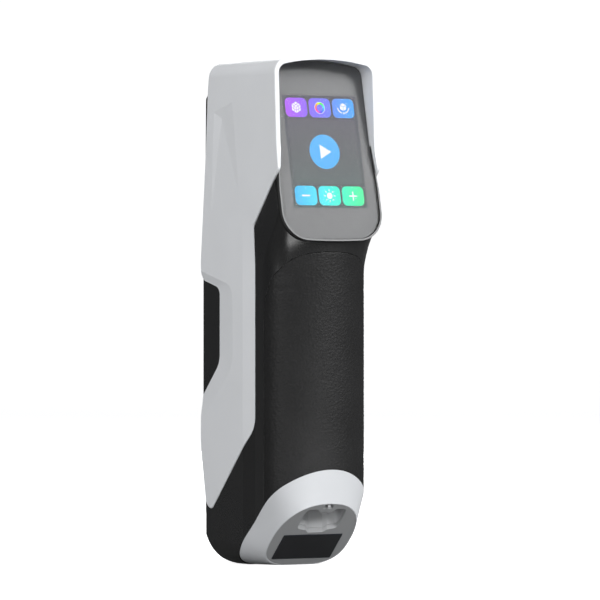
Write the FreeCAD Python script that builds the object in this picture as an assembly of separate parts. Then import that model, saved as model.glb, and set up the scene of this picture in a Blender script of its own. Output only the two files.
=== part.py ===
"""Handheld 3-D scanner: every separate piece as its own STEP file.

Frame: X across the body, +Y towards the object being scanned (optics side), -Y towards the
user (screen side), +Z up.  The origin is on the flat foot, under the middle of the body.
All sizes are millimetres.
"""
import FreeCAD, Part
import math
import os

Vector = FreeCAD.Vector

# ---------------------------------------------------------------- driving dimensions
HEIGHT = 217.0            # foot to crown of the hood
HALF_WIDTH = 25.5         # outside of the white shell
SHELL_WALL = 2.1
DISH_DEPTH = 0.9
SHELL_EDGE_R = 0.45
GAP = 0.15                # seam between neighbouring mouldings
FRONT_Y = 36.0            # foremost line of the optics face
PARTING_Y = 18.0          # plane where front and rear housings meet
FOOT_PARTING_Y = 29.6     # the same joint below the shell
PARTING_STEP_Z = 31.0
BODY_HALF_W = 25.25       # dark mouldings ahead of the grip, almost level with the shell
GRIP_HALF_W = 24.3        # behind the shell's bevelled rear edge
NARROWING_Y = (-1.0, -9.4)
CHEEK_HALF_W = 23.4       # dark waist between the flanks, at the finger notch

CROWN_R = 100.0           # top edge of the hood, seen from the front
HOOD_CORNER_R = 6.5

GRIP_REAR_Y = -31.6
GRIP_REAR_R = 32.2        # radius of the grip's back
GRIP_CORNER_R = 12.0
HEAD_HALF_W = 24.9
HEAD_REAR_Y = -35.5
HEAD_REAR_R = 240.0
HEAD_CORNER_R = 5.5
NECK_SPREAD_Z = (124.0, 150.0)   # the back flattens and its corners tighten
NECK_LEAN_Z = (134.0, 155.0)     # the back moves out towards the screen
NECK_LEAD_IN = 8.0               # straight stretch that starts the neck's surface
NECK_STEPS = 12
PAD_FRONT_Y = -16.4
PAD_TOP_Z = 134.6
PAD_THICK = 1.0
BODY_WALL = 3.0           # plastic plus rubber at the grip
SIDE_CLEAR = SHELL_WALL + GAP

FOOT_EDGE_Y = -3.85       # where the slanted port face meets the foot
PORT_RISE_DEG = 45.0      # slope of the port face
COLLAR_DEPTH = 9.6        # collar band, measured square to the port face
FOOT_ROUND_R = 10.5       # rounding from the flanks into the foot
PORT_PLATE_THICK = 1.5
PORT_HALF_W = 20.0
PORT_CENTRE_S = 16.0      # widest place of the port face, measured up the slope
PORT_TOP_S = 38.0
PORT_STEPS = 32
NAME_PLATE_S = 11.5       # middle of the name plate, up the slope
NAME_PLATE_HALF = (14.6, 7.4)
COLLAR_DROP = 0.3         # carries the collar's low side below the foot, where it is trimmed

SCREEN_TILT = 12.0
SCREEN_CENTRE = Vector(0, -26.3, 176.1)
GLASS_THICK = 1.0
TAPE_THICK = 0.1
FACE_GAP = 0.02           # between faces that only rest on each other
BEZEL_DEPTH = 2.6
TRIM_PROUD = 0.35
TRIM_WIDTH = 0.8
TRIM_HALF_W = 24.9
GLASS_INSET = 1.2
HOOD_HALF_W = 23.4        # inside of the hood at the screen
SCREEN_BOTTOM_V = -38.8
SCREEN_CORNER_R = 12.5
LCD_SHIFT_X = 0.55        # the panel sits slightly off the body's centre line
LCD_HALF = (20.0, 27.5)
LCD_THICK = 2.0

WINDOW_THICK = 1.5
FRONT_WALL = 2.8
UPPER_WINDOW_Z = (131.0, 197.0)
LOWER_WINDOW_Z = (27.0, 65.0)
WINDOW_HALF_W = 18.5
UPPER_CAMERA_Z = 184.0
COLOUR_CAMERA_Z = 160.5
PROJECTOR_Z = 141.0
LOWER_CAMERA_Z = 41.6
LASER_Z = 58.6
LASER_X = 7.0
MASK_Y = (30.2, 31.6)
CAMERA_BOARD_Y = (18.8, 20.2)
RING_OUTER_R = 12.4
RING_INNER_R = 7.9

FRAME_Y = (14.0, 17.6)
FRAME_HALF_W = 10.2
BOARD_Y = (2.0, 3.6)
BOARD_HALF_W = 13.5
BOARD_Z = (46.0, 192.0)
CASE_SCREW_X = 17.3
CASE_SCREW_Z = (69.5, 127.0)
FRAME_SCREW_Z = (72.0, 122.0)
FRAME_SCREW_X = 7.5
STANDOFF_X = 8.0
STANDOFF_Z = (52.0, 96.0, 150.0)

BUTTON_Z = 98.0
BUTTON_HALF = (7.5, 10.5)
BUTTON_POCKET = (11.0, 14.5)
BUTTON_POCKET_DEPTH = 1.5
BUTTON_TRAVEL = 1.2

BAY_TOP_Z = 36.0
LATCH_Y = (-30.0, -28.9)
LATCH_HEAD_Z = (28.9, 31.0)
LATCH_SPRING_Y = -29.3
LATCH_ROOF_Z = 37.0


# ---------------------------------------------------------------- helpers
def box(x0, x1, y0, y1, z0, z1):
    return Part.makeBox(x1 - x0, y1 - y0, z1 - z0, Vector(x0, y0, z0))


def rounded_edges(corners, lift):
    """Edges of a closed outline; each corner is (a, b, radius) and lift turns (a, b) into 3-D."""
    edges = []
    starts = []
    ends = []
    arcs = []
    count = len(corners)
    for i, (a, b, radius) in enumerate(corners):
        here = Vector(a, b, 0)
        back = Vector(corners[i - 1][0], corners[i - 1][1], 0) - here
        ahead = Vector(corners[(i + 1) % count][0], corners[(i + 1) % count][1], 0) - here
        back.normalize()
        ahead.normalize()
        half_angle = back.getAngle(ahead) / 2
        if radius <= 0 or half_angle > math.radians(89.9):
            starts.append(here)
            ends.append(here)
            arcs.append(None)
            continue
        bisector = back + ahead
        bisector.normalize()
        run = radius / math.tan(half_angle)
        middle = here + bisector * (radius / math.sin(half_angle) - radius)
        starts.append(here + back * run)
        ends.append(here + ahead * run)
        arcs.append(middle)
    for i in range(count):
        if arcs[i] is not None:
            points = [lift(p.x, p.y) for p in (starts[i], arcs[i], ends[i])]
            edges.append(Part.Arc(*points).toShape())
        a = ends[i]
        b = starts[(i + 1) % count]
        if a.distanceToPoint(b) > 1e-4:
            edges.append(Part.makeLine(lift(a.x, a.y), lift(b.x, b.y)))
    return edges


def outline_face(corners, lift):
    return Part.Face(Part.Wire(rounded_edges(corners, lift)))


def side_prism(corners, x0, x1, grow=0.0):
    """Outline in (y, z, radius), run along X; grow moves the outline outwards."""
    face = outline_face(corners, lambda y, z: Vector(x0, y, z))
    if grow:
        face = face.makeOffset2D(grow)
    return face.extrude(Vector(x1 - x0, 0, 0))


def front_prism(corners, y0, y1):
    """Outline in (x, z, radius), run along Y."""
    face = outline_face(corners, lambda x, z: Vector(x, y0, z))
    return face.extrude(Vector(0, y1 - y0, 0))


def plan_prism(corners, z0, z1):
    """Outline in (x, y, radius), run along Z."""
    face = outline_face(corners, lambda x, y: Vector(x, y, z0))
    return face.extrude(Vector(0, 0, z1 - z0))


def rectangle(half_a, half_b, radius, a=0.0, b=0.0):
    return [
        (a - half_a, b - half_b, radius),
        (a + half_a, b - half_b, radius),
        (a + half_a, b + half_b, radius),
        (a - half_a, b + half_b, radius),
    ]


def hexagon(radius, a, b):
    angles = [math.pi * k / 3 for k in range(6)]
    return [(a + radius * math.cos(angle), b + radius * math.sin(angle), 0) for angle in angles]


def span(half_w, z_range, radius):
    middle = (z_range[0] + z_range[1]) / 2
    return rectangle(half_w, (z_range[1] - z_range[0]) / 2, radius, 0.0, middle)


def rod_y(radius, x, z, y0, y1):
    return Part.makeCylinder(radius, y1 - y0, Vector(x, y0, z), Vector(0, 1, 0))


def ring_y(outer, inner, x, z, y0, y1):
    return rod_y(outer, x, z, y0, y1).cut(rod_y(inner, x, z, y0 - 1, y1 + 1))


def rod_z(radius, x, y, z0, z1):
    return Part.makeCylinder(radius, z1 - z0, Vector(x, y, z0))


def turned_y(profile, x, z):
    """Solid of revolution about a line along Y; profile is a closed list of (radius, y)."""
    points = [Vector(x + r, y, z) for r, y in profile]
    face = Part.Face(Part.makePolygon(points + [points[0]]))
    return face.revolve(Vector(x, 0, z), Vector(0, 1, 0), 360)


def ribbon(path, thickness, x0, x1):
    """Flat cable: path is a list of (y, z), the cable lies to its left with mitred bends."""
    outer = []
    for i, (y, z) in enumerate(path):
        sides = []
        for j in (i - 1, i):
            if 0 <= j < len(path) - 1:
                dy = path[j + 1][0] - path[j][0]
                dz = path[j + 1][1] - path[j][1]
                length = math.hypot(dy, dz)
                sides.append(Vector(0, -dz / length, dy / length))
        normal = sides[0] + sides[-1]
        normal.normalize()
        offset = normal * (thickness / normal.dot(sides[0]))
        outer.append((y + offset.y, z + offset.z))
    corners = [(y, z, 0) for y, z in path + outer[::-1]]
    return side_prism(corners, x0, x1)


def fuse_all(shapes):
    result = shapes[0]
    for shape in shapes[1:]:
        result = result.fuse(shape)
    return result.removeSplitter()


def cut_all(shape, tools):
    for tool in tools:
        shape = shape.cut(tool)
    return shape


def soften(shape, radius, wanted):
    """Round the edges that wanted(edge) picks; leave the shape alone if the kernel cannot."""
    edges = [edge for edge in shape.Edges if wanted(edge)]
    try:
        rounded = shape.makeFillet(radius, edges)
    except Exception:
        return shape
    if rounded.isValid() and len(rounded.Solids) == len(shape.Solids):
        return rounded
    return shape


def runs_across(edge):
    """True for straight edges along X or Y, which are only seams between tangent faces."""
    b = edge.BoundBox
    return b.ZLength < 1e-6 and min(b.XLength, b.YLength) < 1e-6


# ---------------------------------------------------------------- envelopes
def crown_prism(inset, y0, y1, bottom=-10.0):
    """Body seen from the front: straight sides and a crowned top, moved in by inset."""
    half = HALF_WIDTH - inset
    centre_z = HEIGHT - CROWN_R
    corner_x = HALF_WIDTH - HOOD_CORNER_R
    reach = CROWN_R - HOOD_CORNER_R
    corner_z = centre_z + math.sqrt(reach ** 2 - corner_x ** 2)
    corner_r = HOOD_CORNER_R - inset
    crown_r = CROWN_R - inset
    tangent = Vector(corner_x, 0, corner_z - centre_z) * (crown_r / reach)
    lean = math.atan2(corner_z - centre_z, corner_x) / 2

    def point(x, z):
        return Vector(x, y0, z)

    right = Part.Arc(
        point(half, corner_z),
        point(corner_x + corner_r * math.cos(lean), corner_z + corner_r * math.sin(lean)),
        point(tangent.x, tangent.z + centre_z),
    ).toShape()
    top = Part.Arc(
        point(tangent.x, tangent.z + centre_z),
        point(0, centre_z + crown_r),
        point(-tangent.x, tangent.z + centre_z),
    ).toShape()
    left = Part.Arc(
        point(-tangent.x, tangent.z + centre_z),
        point(-corner_x - corner_r * math.cos(lean), corner_z + corner_r * math.sin(lean)),
        point(-half, corner_z),
    ).toShape()
    sides = [
        Part.makeLine(point(-half, corner_z), point(-half, bottom)),
        Part.makeLine(point(-half, bottom), point(half, bottom)),
        Part.makeLine(point(half, bottom), point(half, corner_z)),
    ]
    face = Part.Face(Part.Wire([right, top, left] + sides))
    return face.extrude(Vector(0, y1 - y0, 0))


SHELL_SIDE = [
    (-26.7, HEIGHT + 0.5, 0.0),
    (-28.5, 179.0, 30.0),
    (-29.9, 168.3, 2.0),
    (-9.3, 144.2, 4.0),
    (-9.3, 58.9, 12.0),
    (25.4, 22.5, 3.0),
    (29.6, 26.0, 3.0),
    (34.3, 52.0, 60.0),
    (33.5, 72.2, 1.5),
    (19.65, 86.2, 9.0),
    (19.65, 118.2, 4.0),
    (33.6, 121.8, 2.5),
    (34.1, 129.0, 15.0),
    (29.8, 177.0, 150.0),
    (28.1, 203.5, 20.0),
    (26.0, HEIGHT + 0.5, 6.0),
]

BODY_SIDE = [
    (-60.0, 0.0, 0.0),
    (20.5, 0.0, 10.0),
    (34.7, 19.5, 10.0),
    (FRONT_Y + 0.04, 108.0, 2500.0),
    (34.7, 202.0, 3.0),
    (-60.0, 202.0, 0.0),
]


def grip_section(z, wide, half, rear_y, rear_r, corner_r):
    """D-shaped section of the body: curved back, tangent corners, sides that step in behind the shell."""
    centre_y = rear_y + rear_r
    corner_x = half - corner_r
    corner_y = centre_y - math.sqrt((rear_r - corner_r) ** 2 - corner_x ** 2)
    scale = rear_r / (rear_r - corner_r)
    touch = Vector(corner_x * scale, centre_y + (corner_y - centre_y) * scale, z)
    turn = math.atan2(corner_y - centre_y, corner_x) / 2
    bulge = Vector(corner_x + corner_r * math.cos(turn), corner_y + corner_r * math.sin(turn), z)

    def mirrored(p):
        return Vector(-p.x, p.y, p.z)

    flank = [
        Vector(wide, 60.0, z),
        Vector(wide, NARROWING_Y[0], z),
        Vector(half, NARROWING_Y[1], z),
        Vector(half, corner_y, z),
    ]
    edges = [Part.makeLine(mirrored(flank[0]), flank[0])]
    edges += [Part.makeLine(a, b) for a, b in zip(flank, flank[1:])]
    edges.append(Part.Arc(flank[-1], bulge, touch).toShape())
    edges.append(Part.Arc(touch, Vector(0, rear_y, z), mirrored(touch)).toShape())
    edges.append(Part.Arc(mirrored(touch), mirrored(bulge), mirrored(flank[-1])).toShape())
    back = [mirrored(p) for p in flank[::-1]]
    edges += [Part.makeLine(a, b) for a, b in zip(back, back[1:])]
    return Part.Wire(edges)


def foot_prism():
    """Seen from the front: rounding from both flanks into the foot."""
    half = BODY_HALF_W + 0.02
    return front_prism([(-half, 0.0, FOOT_ROUND_R), (half, 0.0, FOOT_ROUND_R), (half, 300.0, 0.0),
                        (-half, 300.0, 0.0)], -80, 80)


def eased(value, low, high):
    """Smooth step from 0 at low to 1 at high."""
    t = min(1.0, max(0.0, (value - low) / (high - low)))
    return t * t * (3 - 2 * t)


def body_section(z, inset, lift=None):
    """Section at a height; inset shrinks it all round, lift draws it at another height."""
    spread = eased(z, *NECK_SPREAD_Z)
    lean = eased(z, *NECK_LEAN_Z)
    half = GRIP_HALF_W + (HEAD_HALF_W - GRIP_HALF_W) * spread
    rear_y = GRIP_REAR_Y + (HEAD_REAR_Y - GRIP_REAR_Y) * lean
    rear_r = 1 / ((1 - spread) / GRIP_REAR_R + spread / HEAD_REAR_R)
    corner_r = GRIP_CORNER_R + (HEAD_CORNER_R - GRIP_CORNER_R) * spread
    height = z if lift is None else lift
    sizes = (BODY_HALF_W - inset, half - inset, rear_y + inset, rear_r - inset, corner_r - inset)
    return grip_section(height, *sizes)


def body_loft(inset):
    """Body without its hood: the straight grip and the neck that widens to the screen."""
    low, high = NECK_SPREAD_Z[0] - NECK_LEAD_IN, NECK_LEAN_Z[1]
    heights = [low + (high - low) * i / NECK_STEPS for i in range(NECK_STEPS + 1)]
    grip = Part.Face(body_section(low, inset, -5.0)).extrude(Vector(0, 0, low + 5.0))
    neck = Part.makeLoft([body_section(z, inset) for z in heights], True, False)
    head = Part.Face(body_section(high, inset)).extrude(Vector(0, 0, HEIGHT - high))
    return grip.fuse(neck).fuse(head)


def on_screen(shape):
    """Place a shape drawn flat (x right, y up the screen, z out of the glass)."""
    placed = shape.copy()
    placed.Placement = FreeCAD.Placement(SCREEN_CENTRE, FreeCAD.Rotation(Vector(1, 0, 0), 90 - SCREEN_TILT))
    return placed


def on_port(shape):
    """Place a shape drawn flat (x right, y up the slope, z out of the port face)."""
    placed = shape.copy()
    foot = Vector(0, FOOT_EDGE_Y, 0)
    placed.Placement = FreeCAD.Placement(foot, FreeCAD.Rotation(Vector(1, 0, 0), 180 - PORT_RISE_DEG))
    return placed


def screen_outline(inset):
    """Screen surround: wide at the bottom, drawn in where it enters the hood."""
    wide = TRIM_HALF_W - inset
    narrow = HOOD_HALF_W - GAP - 0.05
    if inset > 1.5:
        narrow = HOOD_HALF_W - 0.8
    bottom = SCREEN_BOTTOM_V + inset
    return [
        (0.0, bottom - 0.45, 200.0),
        (wide, bottom + 0.45, SCREEN_CORNER_R - inset),
        (wide, -17.0, 60.0),
        (narrow, 2.0, 60.0),
        (narrow, 50.0, 0.0),
        (-narrow, 50.0, 0.0),
        (-narrow, 2.0, 60.0),
        (-wide, -17.0, 60.0),
        (-wide, bottom + 0.45, SCREEN_CORNER_R - inset),
    ]


def screen_block(inset, w0, w1, hood_inset=SIDE_CLEAR + 0.1):
    block = on_screen(plan_prism(screen_outline(inset), w0, w1))
    return block.common(crown_prism(hood_inset, -60, 60))


def screen_halfspace(w0):
    """Everything from depth w0 outwards, on the user's side of the screen."""
    return on_screen(box(-80, 80, -120, 120, w0, 80))


def port_points(half_w, low_s, high_s, low_power, high_power, w):
    """Egg-shaped loop on the slanted face from two half superellipses."""
    points = []
    for i in range(PORT_STEPS):
        angle = 2 * math.pi * i / PORT_STEPS
        c = math.cos(angle)
        s = math.sin(angle)
        power = high_power if s >= 0 else low_power
        reach = high_s if s >= 0 else low_s
        x = half_w * math.copysign(abs(c) ** (2 / power), c)
        y = PORT_CENTRE_S + reach * math.copysign(abs(s) ** (2 / power), s)
        points.append(Vector(x, y, w))
    return points


def closed_curve(points):
    curve = Part.BSplineCurve()
    curve.interpolate(points, PeriodicFlag=True)
    return Part.Wire(curve.toShape())


def port_wire(inset, depth, drop):
    """Port outline at a depth inside the face; it flares out as it goes in."""
    share = depth / COLLAR_DEPTH
    half_w = PORT_HALF_W - inset + 5.4 * share
    high = PORT_TOP_S - PORT_CENTRE_S - inset + 11.5 * share
    low = PORT_CENTRE_S - inset + depth + drop
    return closed_curve(port_points(half_w, low, high, 3.0 + share, 2.3 + 0.4 * share, -depth))


def collar_block():
    """Outside of the collar: from the port outline to the body's own outline at its inner end."""
    body = body_loft(0)
    centre = Vector(0, PORT_CENTRE_S, -COLLAR_DEPTH)
    start = on_port(Part.Vertex(centre)).Point
    low = PORT_CENTRE_S + COLLAR_DEPTH + COLLAR_DROP
    rim = []
    for point in port_points(BODY_HALF_W, low, 40.0, 4.0, 2.3, -COLLAR_DEPTH):
        if point.y < PORT_CENTRE_S - 1e-6:
            rim.append(on_port(Part.Vertex(point)).Point)
            continue
        ray = on_port(Part.makeLine(centre, centre + (point - centre) * 2))
        hits = [v.Point for v in body.common(ray).Vertexes]
        rim.append(max(hits, key=lambda p: p.distanceToPoint(start)))
    return Part.makeLoft([on_port(port_wire(0.0, 0.0, COLLAR_DROP)), closed_curve(rim)], True, True)


def port_taper(inset, d0, d1):
    """Tapered plug between two depths."""
    wires = [port_wire(inset, d0, 0.0), port_wire(inset, d1, 0.0)]
    return on_port(Part.makeLoft(wires, True, True))


def port_halfspace(depth, gap=0.0):
    """Everything on the outer side of the plane lying depth inside the port face."""
    return on_port(box(-80, 80, -120, 160, -depth - gap, 80))


# ---------------------------------------------------------------- shared keep-outs
def bay_outline(grow):
    """Plug bay in plan: rounded block with a tongue in front and a keying rib behind."""
    rear = -28.3 - max(0.0, grow - 0.7)
    corner = 2.0 + grow
    return [
        (-10.2 - grow, -20.0 + grow, 2.0),
        (-5.4 - grow, -19.4 + grow, 1.0),
        (-3.6 - grow, -18.2 + grow, 1.0),
        (3.6 + grow, -18.2 + grow, 1.0),
        (5.4 + grow, -19.4 + grow, 1.0),
        (10.2 + grow, -20.0 + grow, 2.0),
        (10.2 + grow, rear, corner),
        (4.6 - grow, rear, 0.8),
        (2.6 - grow / 2, rear + 1.4, 0.8),
        (-2.6 + grow / 2, rear + 1.4, 0.8),
        (-4.6 + grow, rear, 0.8),
        (-10.2 - grow, rear, corner),
    ]


def latch_slot():
    return box(-2.2, 2.2, -30.5, -28.55, 15, 34.5)


def shell_keepout():
    """Space taken by the white shell and its seam, for cutting the dark mouldings."""
    outside = side_prism(SHELL_SIDE, -40, 40, GAP)
    return outside.cut(crown_prism(SIDE_CLEAR, -80, 80))


def case_bosses(radius, y0, y1):
    return [rod_y(radius, sx * CASE_SCREW_X, z, y0, y1) for sx in (-1, 1) for z in CASE_SCREW_Z]


# ---------------------------------------------------------------- casings
def bevel_wedge(sign):
    """Thumb relief along the rear edge of a flank, fading out at both ends."""
    wires = []
    for z, depth in ((36.0, 0.02), (58.0, 1.3), (128.0, 1.3), (152.0, 0.02)):
        x_out = sign * (HALF_WIDTH + 0.5)
        x_skin = sign * HALF_WIDTH
        x_edge = sign * (HALF_WIDTH - depth)
        points = [Vector(x_out, -1.0, z), Vector(x_skin, -1.0, z)]
        points += [Vector(x_edge, -9.6, z), Vector(x_out, -9.6, z)]
        wires.append(Part.makePolygon(points + [points[0]]))
    return Part.makeLoft(wires, True, True)


def pyramid(tip, base):
    """Solid with flat sides from a tip to the corners of its base."""
    sides = [Part.Face(Part.makePolygon([tip, a, b, tip])) for a, b in zip(base, base[1:] + base[:1])]
    return Part.Solid(Part.Shell(sides + [Part.Face(Part.makePolygon(base + [base[0]]))]))


def dish_wedge(sign):
    """Shallow faceted dish in the upper front of a flank, deepest at its front top corner."""
    rim = ((7.5, 197.6), (22.8, 193.5), (25.0, 150.0), (2.0, 158.0))
    deepest = (17.4, 190.8)
    tip = Vector(sign * (HALF_WIDTH - DISH_DEPTH), *deepest)
    base = []
    for y, z in rim:
        far = (2 * y - deepest[0], 2 * z - deepest[1])
        base.append(Vector(sign * (HALF_WIDTH + DISH_DEPTH), *far))
    return pyramid(tip, base)


def scallop_wedge(sign):
    """Shallow dish that leads the flank down into the finger notch."""
    crest = [
        (44.0, 60.0, 0.0),
        (33.0, 62.0, 6.0),
        (7.0, 84.0, 14.0),
        (7.0, 119.0, 7.0),
        (34.0, 125.8, 3.0),
        (44.0, 127.0, 0.0),
    ]
    root = [
        (44.0, 68.0, 0.0),
        (34.5, 70.6, 6.0),
        (19.3, 85.6, 10.0),
        (19.3, 118.4, 4.5),
        (34.0, 122.2, 3.0),
        (44.0, 124.0, 0.0),
    ]
    wires = []
    for corners, x in ((crest, HALF_WIDTH + 0.02), (root, HALF_WIDTH - 1.1)):
        edges = rounded_edges(corners, lambda y, z, x=x: Vector(sign * x, y, z))
        wires.append(Part.Wire(edges))
    return Part.makeLoft(wires, True, True)


def outer_shell():
    shell = side_prism(SHELL_SIDE, -40, 40).common(crown_prism(0, -60, 60))
    shell = soften(shell, SHELL_EDGE_R, lambda e: not runs_across(e))
    shell = shell.cut(crown_prism(SHELL_WALL, -60, 25.6))
    through = box(-40, 40, 20, 60, -10, 203.0).common(crown_prism(SHELL_WALL, -60, 60))
    shell = shell.cut(through)
    pocket = on_screen(plan_prism(screen_outline(-0.2), -BEZEL_DEPTH - 0.1, 40))
    pocket = pocket.common(on_screen(box(-40, 40, -80, 3.0, -20, 60)))
    shell = shell.cut(pocket)
    for sign in (-1, 1):
        shell = shell.cut(bevel_wedge(sign))
        shell = shell.cut(scallop_wedge(sign))
        shell = shell.cut(dish_wedge(sign))
    return shell


def rear_cavity():
    space = body_loft(BODY_WALL).common(box(-20.15, 20.15, -60, 31, 2.5, 212.0))
    space = space.cut(screen_halfspace(-BEZEL_DEPTH - 2.2))
    space = space.fuse(box(-20.15, 20.15, -60, 6, 2.5, 60).common(body_loft(BODY_WALL)))
    return space.common(side_prism(BODY_SIDE, -40, 40, -2.5).fuse(box(-40, 40, -60, 17, 190, 214)))


def pad_region():
    """Side view of the rubber pad: straight front edges and an arched top."""
    arch = [
        (-60.0, -10.0, 0.0),
        (PAD_FRONT_Y, -10.0, 0.0),
        (PAD_FRONT_Y, 112.0, 12.0),
        (-21.0, 123.0, 12.0),
        (-31.0, PAD_TOP_Z, 14.0),
        (-60.0, PAD_TOP_Z + 1.4, 0.0),
    ]
    return side_prism(arch, -40, 40)


def ahead_of_parting(gap):
    """Space ahead of the joint between the two housings, which steps forward at the foot."""
    upper = box(-40, 40, PARTING_Y + gap, 60, PARTING_STEP_Z + gap, 230)
    return upper.fuse(box(-40, 40, FOOT_PARTING_Y + gap, 60, -10, PARTING_STEP_Z + gap))


def rear_housing():
    body = body_loft(0).common(side_prism(BODY_SIDE, -40, 40).fuse(box(-40, 40, -60, 18, 190, 216)))
    body = body.cut(shell_keepout())
    body = body.common(crown_prism(SIDE_CLEAR, -80, 80).fuse(box(-40, 40, -60, 40, -10, 190)))
    body = body.cut(ahead_of_parting(0.0))
    body = body.cut(screen_halfspace(-BEZEL_DEPTH))
    body = body.common(foot_prism())
    body = body.cut(port_halfspace(COLLAR_DEPTH, 0.02))
    recess = body_loft(0).cut(body_loft(PAD_THICK)).common(pad_region())
    body = body.cut(recess)
    body = body.cut(rear_cavity())
    body = body.cut(on_screen(plan_prism(rectangle(20.6, 28.3, 2.0, LCD_SHIFT_X, 0.0), -12, 1)))
    body = fuse_all([body] + case_bosses(3.3, 7.0, PARTING_Y))
    body = cut_all(body, case_bosses(1.95, 11.9, 20.0))
    return cut_all(body, case_bosses(1.3, 9.0, 12.0))


def grip_overmould():
    skin = body_loft(0).cut(body_loft(PAD_THICK)).common(pad_region())
    skin = skin.cut(shell_keepout())
    skin = skin.cut(screen_halfspace(-BEZEL_DEPTH))
    return skin.cut(port_halfspace(COLLAR_DEPTH, 0.02))


def front_housing():
    half = HALF_WIDTH - SIDE_CLEAR
    outer = side_prism(BODY_SIDE, -half, half).common(ahead_of_parting(0.02))
    inside_crown = crown_prism(SIDE_CLEAR, -60, 60).fuse(box(-60, 60, -60, 60, -60, 60))
    outer = outer.common(inside_crown).common(foot_prism())
    outer = outer.cut(shell_keepout())
    outer = soften(outer, 2.2, lambda e: e.BoundBox.YMin > 34.0 and e.BoundBox.ZLength > 30)
    cheeks = box(-CHEEK_HALF_W, CHEEK_HALF_W, PARTING_Y + 0.02, 35.0, 71.0, 123.0)
    cheeks = cheeks.cut(side_prism(SHELL_SIDE, -40, 40, GAP))
    outer = outer.fuse(cheeks).removeSplitter()
    cavity = side_prism(BODY_SIDE, -40, 40, -FRONT_WALL).common(box(-20.15, 20.15, 10, 60, 26.4, 199))
    outer = outer.cut(cavity)
    for z_range in (UPPER_WINDOW_Z, LOWER_WINDOW_Z):
        seat = front_prism(span(WINDOW_HALF_W + 0.1, (z_range[0] - 0.1, z_range[1] + 0.1), 6.1), 20, 60)
        outer = outer.cut(seat.cut(side_prism(BODY_SIDE, -40, 40, -WINDOW_THICK - 0.05)))
        opening = (z_range[0] + 1.6, z_range[1] - 1.6)
        outer = outer.cut(front_prism(span(WINDOW_HALF_W - 1.6, opening, 4.5), 20, 60))
    pocket = front_prism(rectangle(*BUTTON_POCKET, 9.0, 0.0, BUTTON_Z), FRONT_Y - BUTTON_POCKET_DEPTH, 60)
    outer = outer.cut(pocket)
    hole = rectangle(BUTTON_HALF[0] + GAP, BUTTON_HALF[1] + GAP, 6.15, 0.0, BUTTON_Z)
    outer = outer.cut(front_prism(hole, 20, 60))
    outer = fuse_all([outer] + case_bosses(3.3, PARTING_Y + 0.02, 34.6) + frame_bosses())
    outer = cut_all(outer, case_bosses(1.45, 10, 60) + case_bosses(2.4, 33.0, 60))
    return cut_all(outer, [rod_y(0.95, x, z, 10, 26.5) for x, z in frame_screw_places()])


def frame_screw_places():
    return [(sx * FRAME_SCREW_X, z) for sx in (-1, 1) for z in FRAME_SCREW_Z]


def frame_bosses():
    return [rod_y(2.6, x, z, FRAME_Y[1] + 0.42, 34.0) for x, z in frame_screw_places()]


def bottom_collar():
    band = collar_block().common(side_prism(BODY_SIDE, -40, 40)).common(foot_prism())
    hollow = port_taper(3.0, PORT_PLATE_THICK, COLLAR_DEPTH + 3.0).common(box(-40, 40, -60, 60, 2.5, 60))
    band = band.cut(hollow)
    band = band.cut(port_taper(0.4, -0.5, PORT_PLATE_THICK))
    band = band.cut(plan_prism(bay_outline(1.35), -5, 60))
    return band.cut(box(-3.5, 3.5, -30.35, -28.0, 10, 60))


def port_plate():
    plate = port_taper(0.5, 0.0, PORT_PLATE_THICK - 0.05)
    plate = plate.cut(plan_prism(bay_outline(0.0), -5, 60))
    plate = plate.cut(latch_slot())
    half_a, half_b = NAME_PLATE_HALF
    recess = plan_prism(rectangle(half_a + GAP, half_b + GAP, 0.4, 0.0, NAME_PLATE_S), -0.3, 1.0)
    return plate.cut(on_port(recess))


def name_plate():
    return on_port(plan_prism(rectangle(*NAME_PLATE_HALF, 0.3, 0.0, NAME_PLATE_S), -0.29, 0.1))


def plug_bay():
    """Liner of the plug bay: walls along Z, cut off under the port plate, with a ceiling."""
    walls = plan_prism(bay_outline(1.2), 5, BAY_TOP_Z)
    walls = walls.cut(plan_prism(bay_outline(0.0), 0, BAY_TOP_Z - 1.4))
    walls = walls.cut(port_halfspace(PORT_PLATE_THICK + 0.05))
    walls = walls.cut(box(-3.5, 3.5, -32.0, -28.4, 0, 60))
    hole = plan_prism(rectangle(7.1, 2.3, 2.2, 0.0, -23.6), 30, 40)
    return walls.cut(hole).common(body_loft(BODY_WALL))


# ---------------------------------------------------------------- screen stack
def below_hood(shape):
    """The part of a screen ring that lies below the ends of the hood."""
    return shape.common(on_screen(box(-40, 40, -80, 2.6, -10, 10)))


def screen_layer(inset, w0, w1, hood_inset):
    """Full-width layer of the screen stack, drawn in where it runs up inside the hood."""
    wide = below_hood(screen_block(inset, w0, w1, 0.0))
    return fuse_all([wide, screen_block(inset, w0, w1, hood_inset)])


def screen_bezel():
    frame = screen_layer(0.0, -BEZEL_DEPTH + 0.02, -GLASS_THICK - TAPE_THICK, SIDE_CLEAR + 0.1)
    opening = rectangle(LCD_HALF[0] + 0.4, LCD_HALF[1] + 0.4, 1.0, LCD_SHIFT_X, 0.0)
    return frame.cut(on_screen(plan_prism(opening, -10, 1)))


def screen_trim():
    bottom = -GLASS_THICK - TAPE_THICK + 0.02
    ring = screen_block(0.0, bottom, TRIM_PROUD, 0.0)
    ring = ring.cut(screen_block(TRIM_WIDTH, -10, 10, 0.0))
    return below_hood(ring)


def screen_glass():
    return screen_layer(GLASS_INSET, -GLASS_THICK, 0.0, SIDE_CLEAR + 0.1)


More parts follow.
